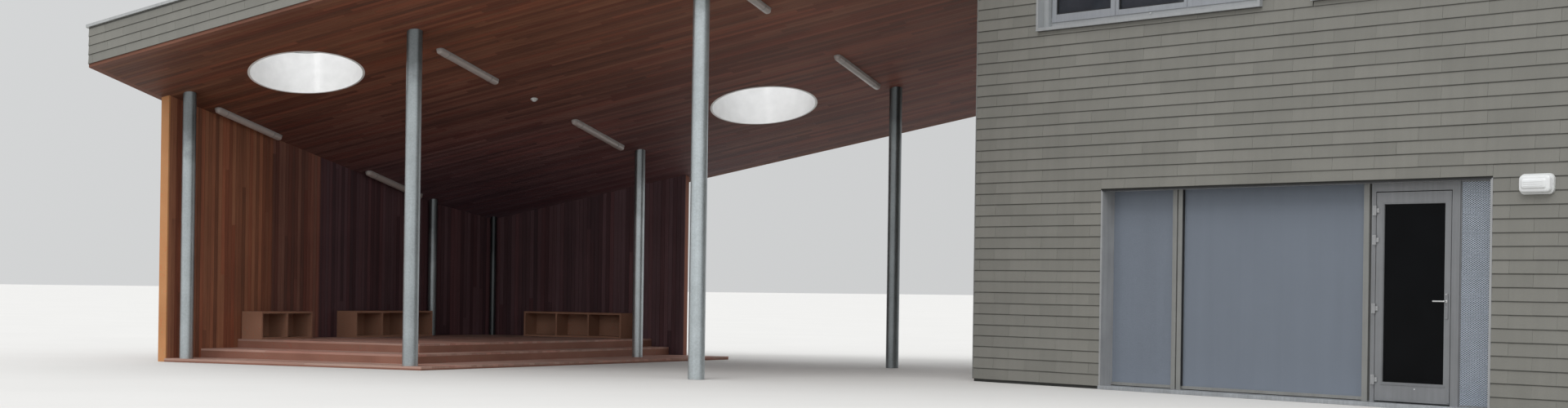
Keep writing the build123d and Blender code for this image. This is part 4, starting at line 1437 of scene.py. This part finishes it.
def mould_sensor():
    """Motion sensor: stepped base with a faceted half-round lens."""
    work = bmesh.new()
    stack(work, [circle(r, z, 32) for r, z in SENSOR_LOOPS])
    housing = piece("sensor_housing", work, white_plastic, on_soffit(*SENSOR), smooth=True)
    fit(housing, "white_plastic", "motion_sensor")


# Rooflights

SHAFTS = ((2.23, 1.82), (7.05, 6.93))
SHAFT_R = 0.8
SHAFT_T = 0.022
SHAFT_OUT = SHAFT_R + SHAFT_T
SHAFT_UP = 0.62
DOME_H = 0.24
DOME_T = 0.006
DOME_STEPS = 9
DOME_BALL = (SHAFT_R ** 2 + DOME_H ** 2) / (2 * DOME_H)
CLAMP_W = 0.03
CLAMP_T = 0.004
CLAMP_SCREWS = 12
CLAMP_SCREW_IN = 0.013
RIM_FOOT = 0.004
SEAM_TURN = 0.6

# Radius and height of each loop of the clamp screws
SCREW_LOOPS = ((0.007, 0), (0.007, 0.003), (0.004, 0.005))

# Radius beyond the shaft of each loop of the collars, and height over the roof or over the shaft's head
COLLAR_FOOT = ((0, -0.01), (0.10, -0.01), (0.10, 0.005), (0.03, 0.008), (0.012, 0.03))
COLLAR_HEAD = ((0.006, -0.035), (0, -0.035))


def dome_line(radius):
    """Outline of a dome from its rim to near its crown."""
    swing = math.asin(SHAFT_R / DOME_BALL)
    return [(radius * math.sin(a), radius * math.cos(a) - (DOME_BALL - DOME_H))
            for a in (swing * (1 - i / (DOME_STEPS + 0.5)) for i in range(DOME_STEPS + 1))]


def glaze_rooflights():
    """Clear acrylic domes, metal clamp rings with screws, and membrane turned up the shafts."""
    domes, clamps, collars, screw_heads = [bmesh.new() for _ in range(4)]
    out, clamp_top, drop = SHAFT_OUT, DOME_T + CLAMP_T, -CLAMP_W
    shell = (list(reversed(dome_line(DOME_BALL))) + [(SHAFT_R - 0.002, 0.001), (out, 0.001), (out, DOME_T)]
             + dome_line(DOME_BALL + DOME_T))
    clamp = ((out - CLAMP_W, DOME_T), (out, DOME_T), (out, drop), (out + CLAMP_T, drop),
             (out + CLAMP_T, clamp_top), (out - CLAMP_W, clamp_top))
    up = ROOF_UP * math.cos(math.atan(math.hypot(RISE_S, FALL_N)))
    collar = ([(out + r, up + z) for r, z in COLLAR_FOOT]
              + [(out + r, SHAFT_UP + z) for r, z in COLLAR_HEAD])
    for s, n in SHAFTS:
        top = on_soffit(s, n, SHAFT_UP)
        stack(domes, [[top @ p for p in circle(r, z, 72)] for r, z in shell])
        hoop(clamps, top, clamp)
        hoop(collars, on_soffit(s, n), collar)
        for i in range(CLAMP_SCREWS):
            angle = 2 * math.pi * i / CLAMP_SCREWS
            r = out - CLAMP_SCREW_IN
            spot = top @ shift(r * math.cos(angle), r * math.sin(angle), clamp_top)
            stack(screw_heads, [[spot @ p for p in circle(q, z, 10)] for q, z in SCREW_LOOPS])
    fit(piece("acrylic_domes", domes, dome_plastic, smooth=True), "opal_plastic", "rooflight_domes")
    rings = piece("dome_clamps", clamps, coping_metal, smooth=True)
    heads = piece("dome_clamp_screws", screw_heads, satin_steel, smooth=True)
    fit(join("dome_clamps", [rings, heads]), "coping_metal")
    fit(piece("shaft_collars", collars, membrane, smooth=True), "roof_membrane")


def line_shafts():
    """Thin pale rims at the foot of the shafts and two upright sheet seams inside each."""
    rims = bmesh.new()
    inside, outside = SHAFT_R - 0.003, SHAFT_OUT + 0.006
    half_t, half_w, half_h = 0.0015, 0.02, SHAFT_UP / 2 - 0.01
    for s, n in SHAFTS:
        base = on_soffit(s, n)
        section = ((inside, -RIM_FOOT), (outside, -RIM_FOOT), (outside, -0.0005), (inside, -0.0005))
        hoop(rims, base, section, 96)
        for angle in (SEAM_TURN, SEAM_TURN + math.pi):
            spot = base @ spin(angle) @ shift(SHAFT_R - half_t, 0, SHAFT_UP / 2)
            stack(rims, [[spot @ Vector((x * half_t, y * half_w, z * half_h))
                          for x, y in ((-1, -1), (1, -1), (1, 1), (-1, 1))] for z in (-1, 1)])
    fit(piece("shaft_rims", rims, shaft_white), "white_plastic")


hang_screen("narrow_screen", 4)
hang_screen("wide_screen", 9)
edge_screens()
weave_panel()
rib_threshold()
fit_door()
fit_lock()
bend_levers()
screw_hinges()
fit_windows()
mould_bulkhead()
mould_ceiling_lights()
mould_sensor()
glaze_rooflights()
line_shafts()


# Stage, light and camera

FLOOR_SIZE = 220
FLOOR_LOW = -0.002
CAMERA_PLACE = (18.955, -25.325, 1.282)
CAMERA_WAY = Vector((-0.8061, 0.5918, 0))
CAMERA_ROLL = math.radians(0.82)
SENSOR_W = 36
PHOTO_W, PHOTO_H = 1920, 500
LENS_PIXELS = 2940
HORIZON_Y = 346.3


def lay_floor():
    """Plain pale floor."""
    work = bmesh.new()
    bmesh.ops.create_grid(work, x_segments=1, y_segments=1, size=FLOOR_SIZE)
    finish, tree = material("pale_floor")
    clouds = noise(places(tree), 0.4, 4)
    camera, glossy, through = [put(tree, "ShaderNodeLightPath", output=f"Is {ray} Ray")
                               for ray in ("Camera", "Glossy", "Transmission")]
    seen = camera.step("MAXIMUM", glossy.step("MAXIMUM", through))
    shade = mixed(seen, (0.40, 0.39, 0.37), (0.64, 0.63, 0.61))
    painted(finish, tint(shade, clouds.spread(0.985, 1.015)), 0.9, specular=0.1)
    piece("floor", work, finish, shift(z=FLOOR_LOW))


def light_studio():
    """Soft even sky, brighter to the front than to the back, and one large soft lamp from the front right."""
    world = bpy.data.worlds.new("soft_sky")
    world.use_nodes = True
    bpy.context.scene.world = world
    ground = world.node_tree.nodes["Background"]
    way = put(world.node_tree, "ShaderNodeTexCoord", output="Generated")
    towards = way.move("DOT_PRODUCT", (0.5, -0.866, 0), output="Value")
    sky = ramp(way.axes()[2], (0.0, (0.79, 0.80, 0.805)), (0.45, (0.83, 0.845, 0.86)),
               (0.85, (1.42, 1.44, 1.47)))
    feed(tint(sky, towards.spread(0.76, 1.25, -1, 1)), ground.inputs["Color"])
    ground.inputs["Strength"].default_value = 1.0
    lamp = bpy.data.lights.new("soft_lamp", "SUN")
    lamp.energy = 0.92
    lamp.angle = math.radians(30)
    shown("soft_lamp", lamp).rotation_euler = (math.radians(40), 0, math.radians(34))


def aim_camera():
    """Camera where the photograph was taken from; the shift brings the horizon to its line."""
    lens = bpy.data.cameras.new("camera")
    lens.sensor_width = SENSOR_W
    lens.lens = LENS_PIXELS / PHOTO_W * SENSOR_W
    lens.shift_y = (HORIZON_Y - PHOTO_H / 2) / PHOTO_W
    lens.clip_end = 500
    camera = shown("camera", lens)
    turn = CAMERA_WAY.to_track_quat("-Z", "Y").to_matrix().to_4x4()
    camera.matrix_world = shift(*CAMERA_PLACE) @ turn @ spin(CAMERA_ROLL)
    bpy.context.scene.camera = camera


bpy.context.scene.view_settings.view_transform = "Standard"
lay_floor()
light_studio()
aim_camera()
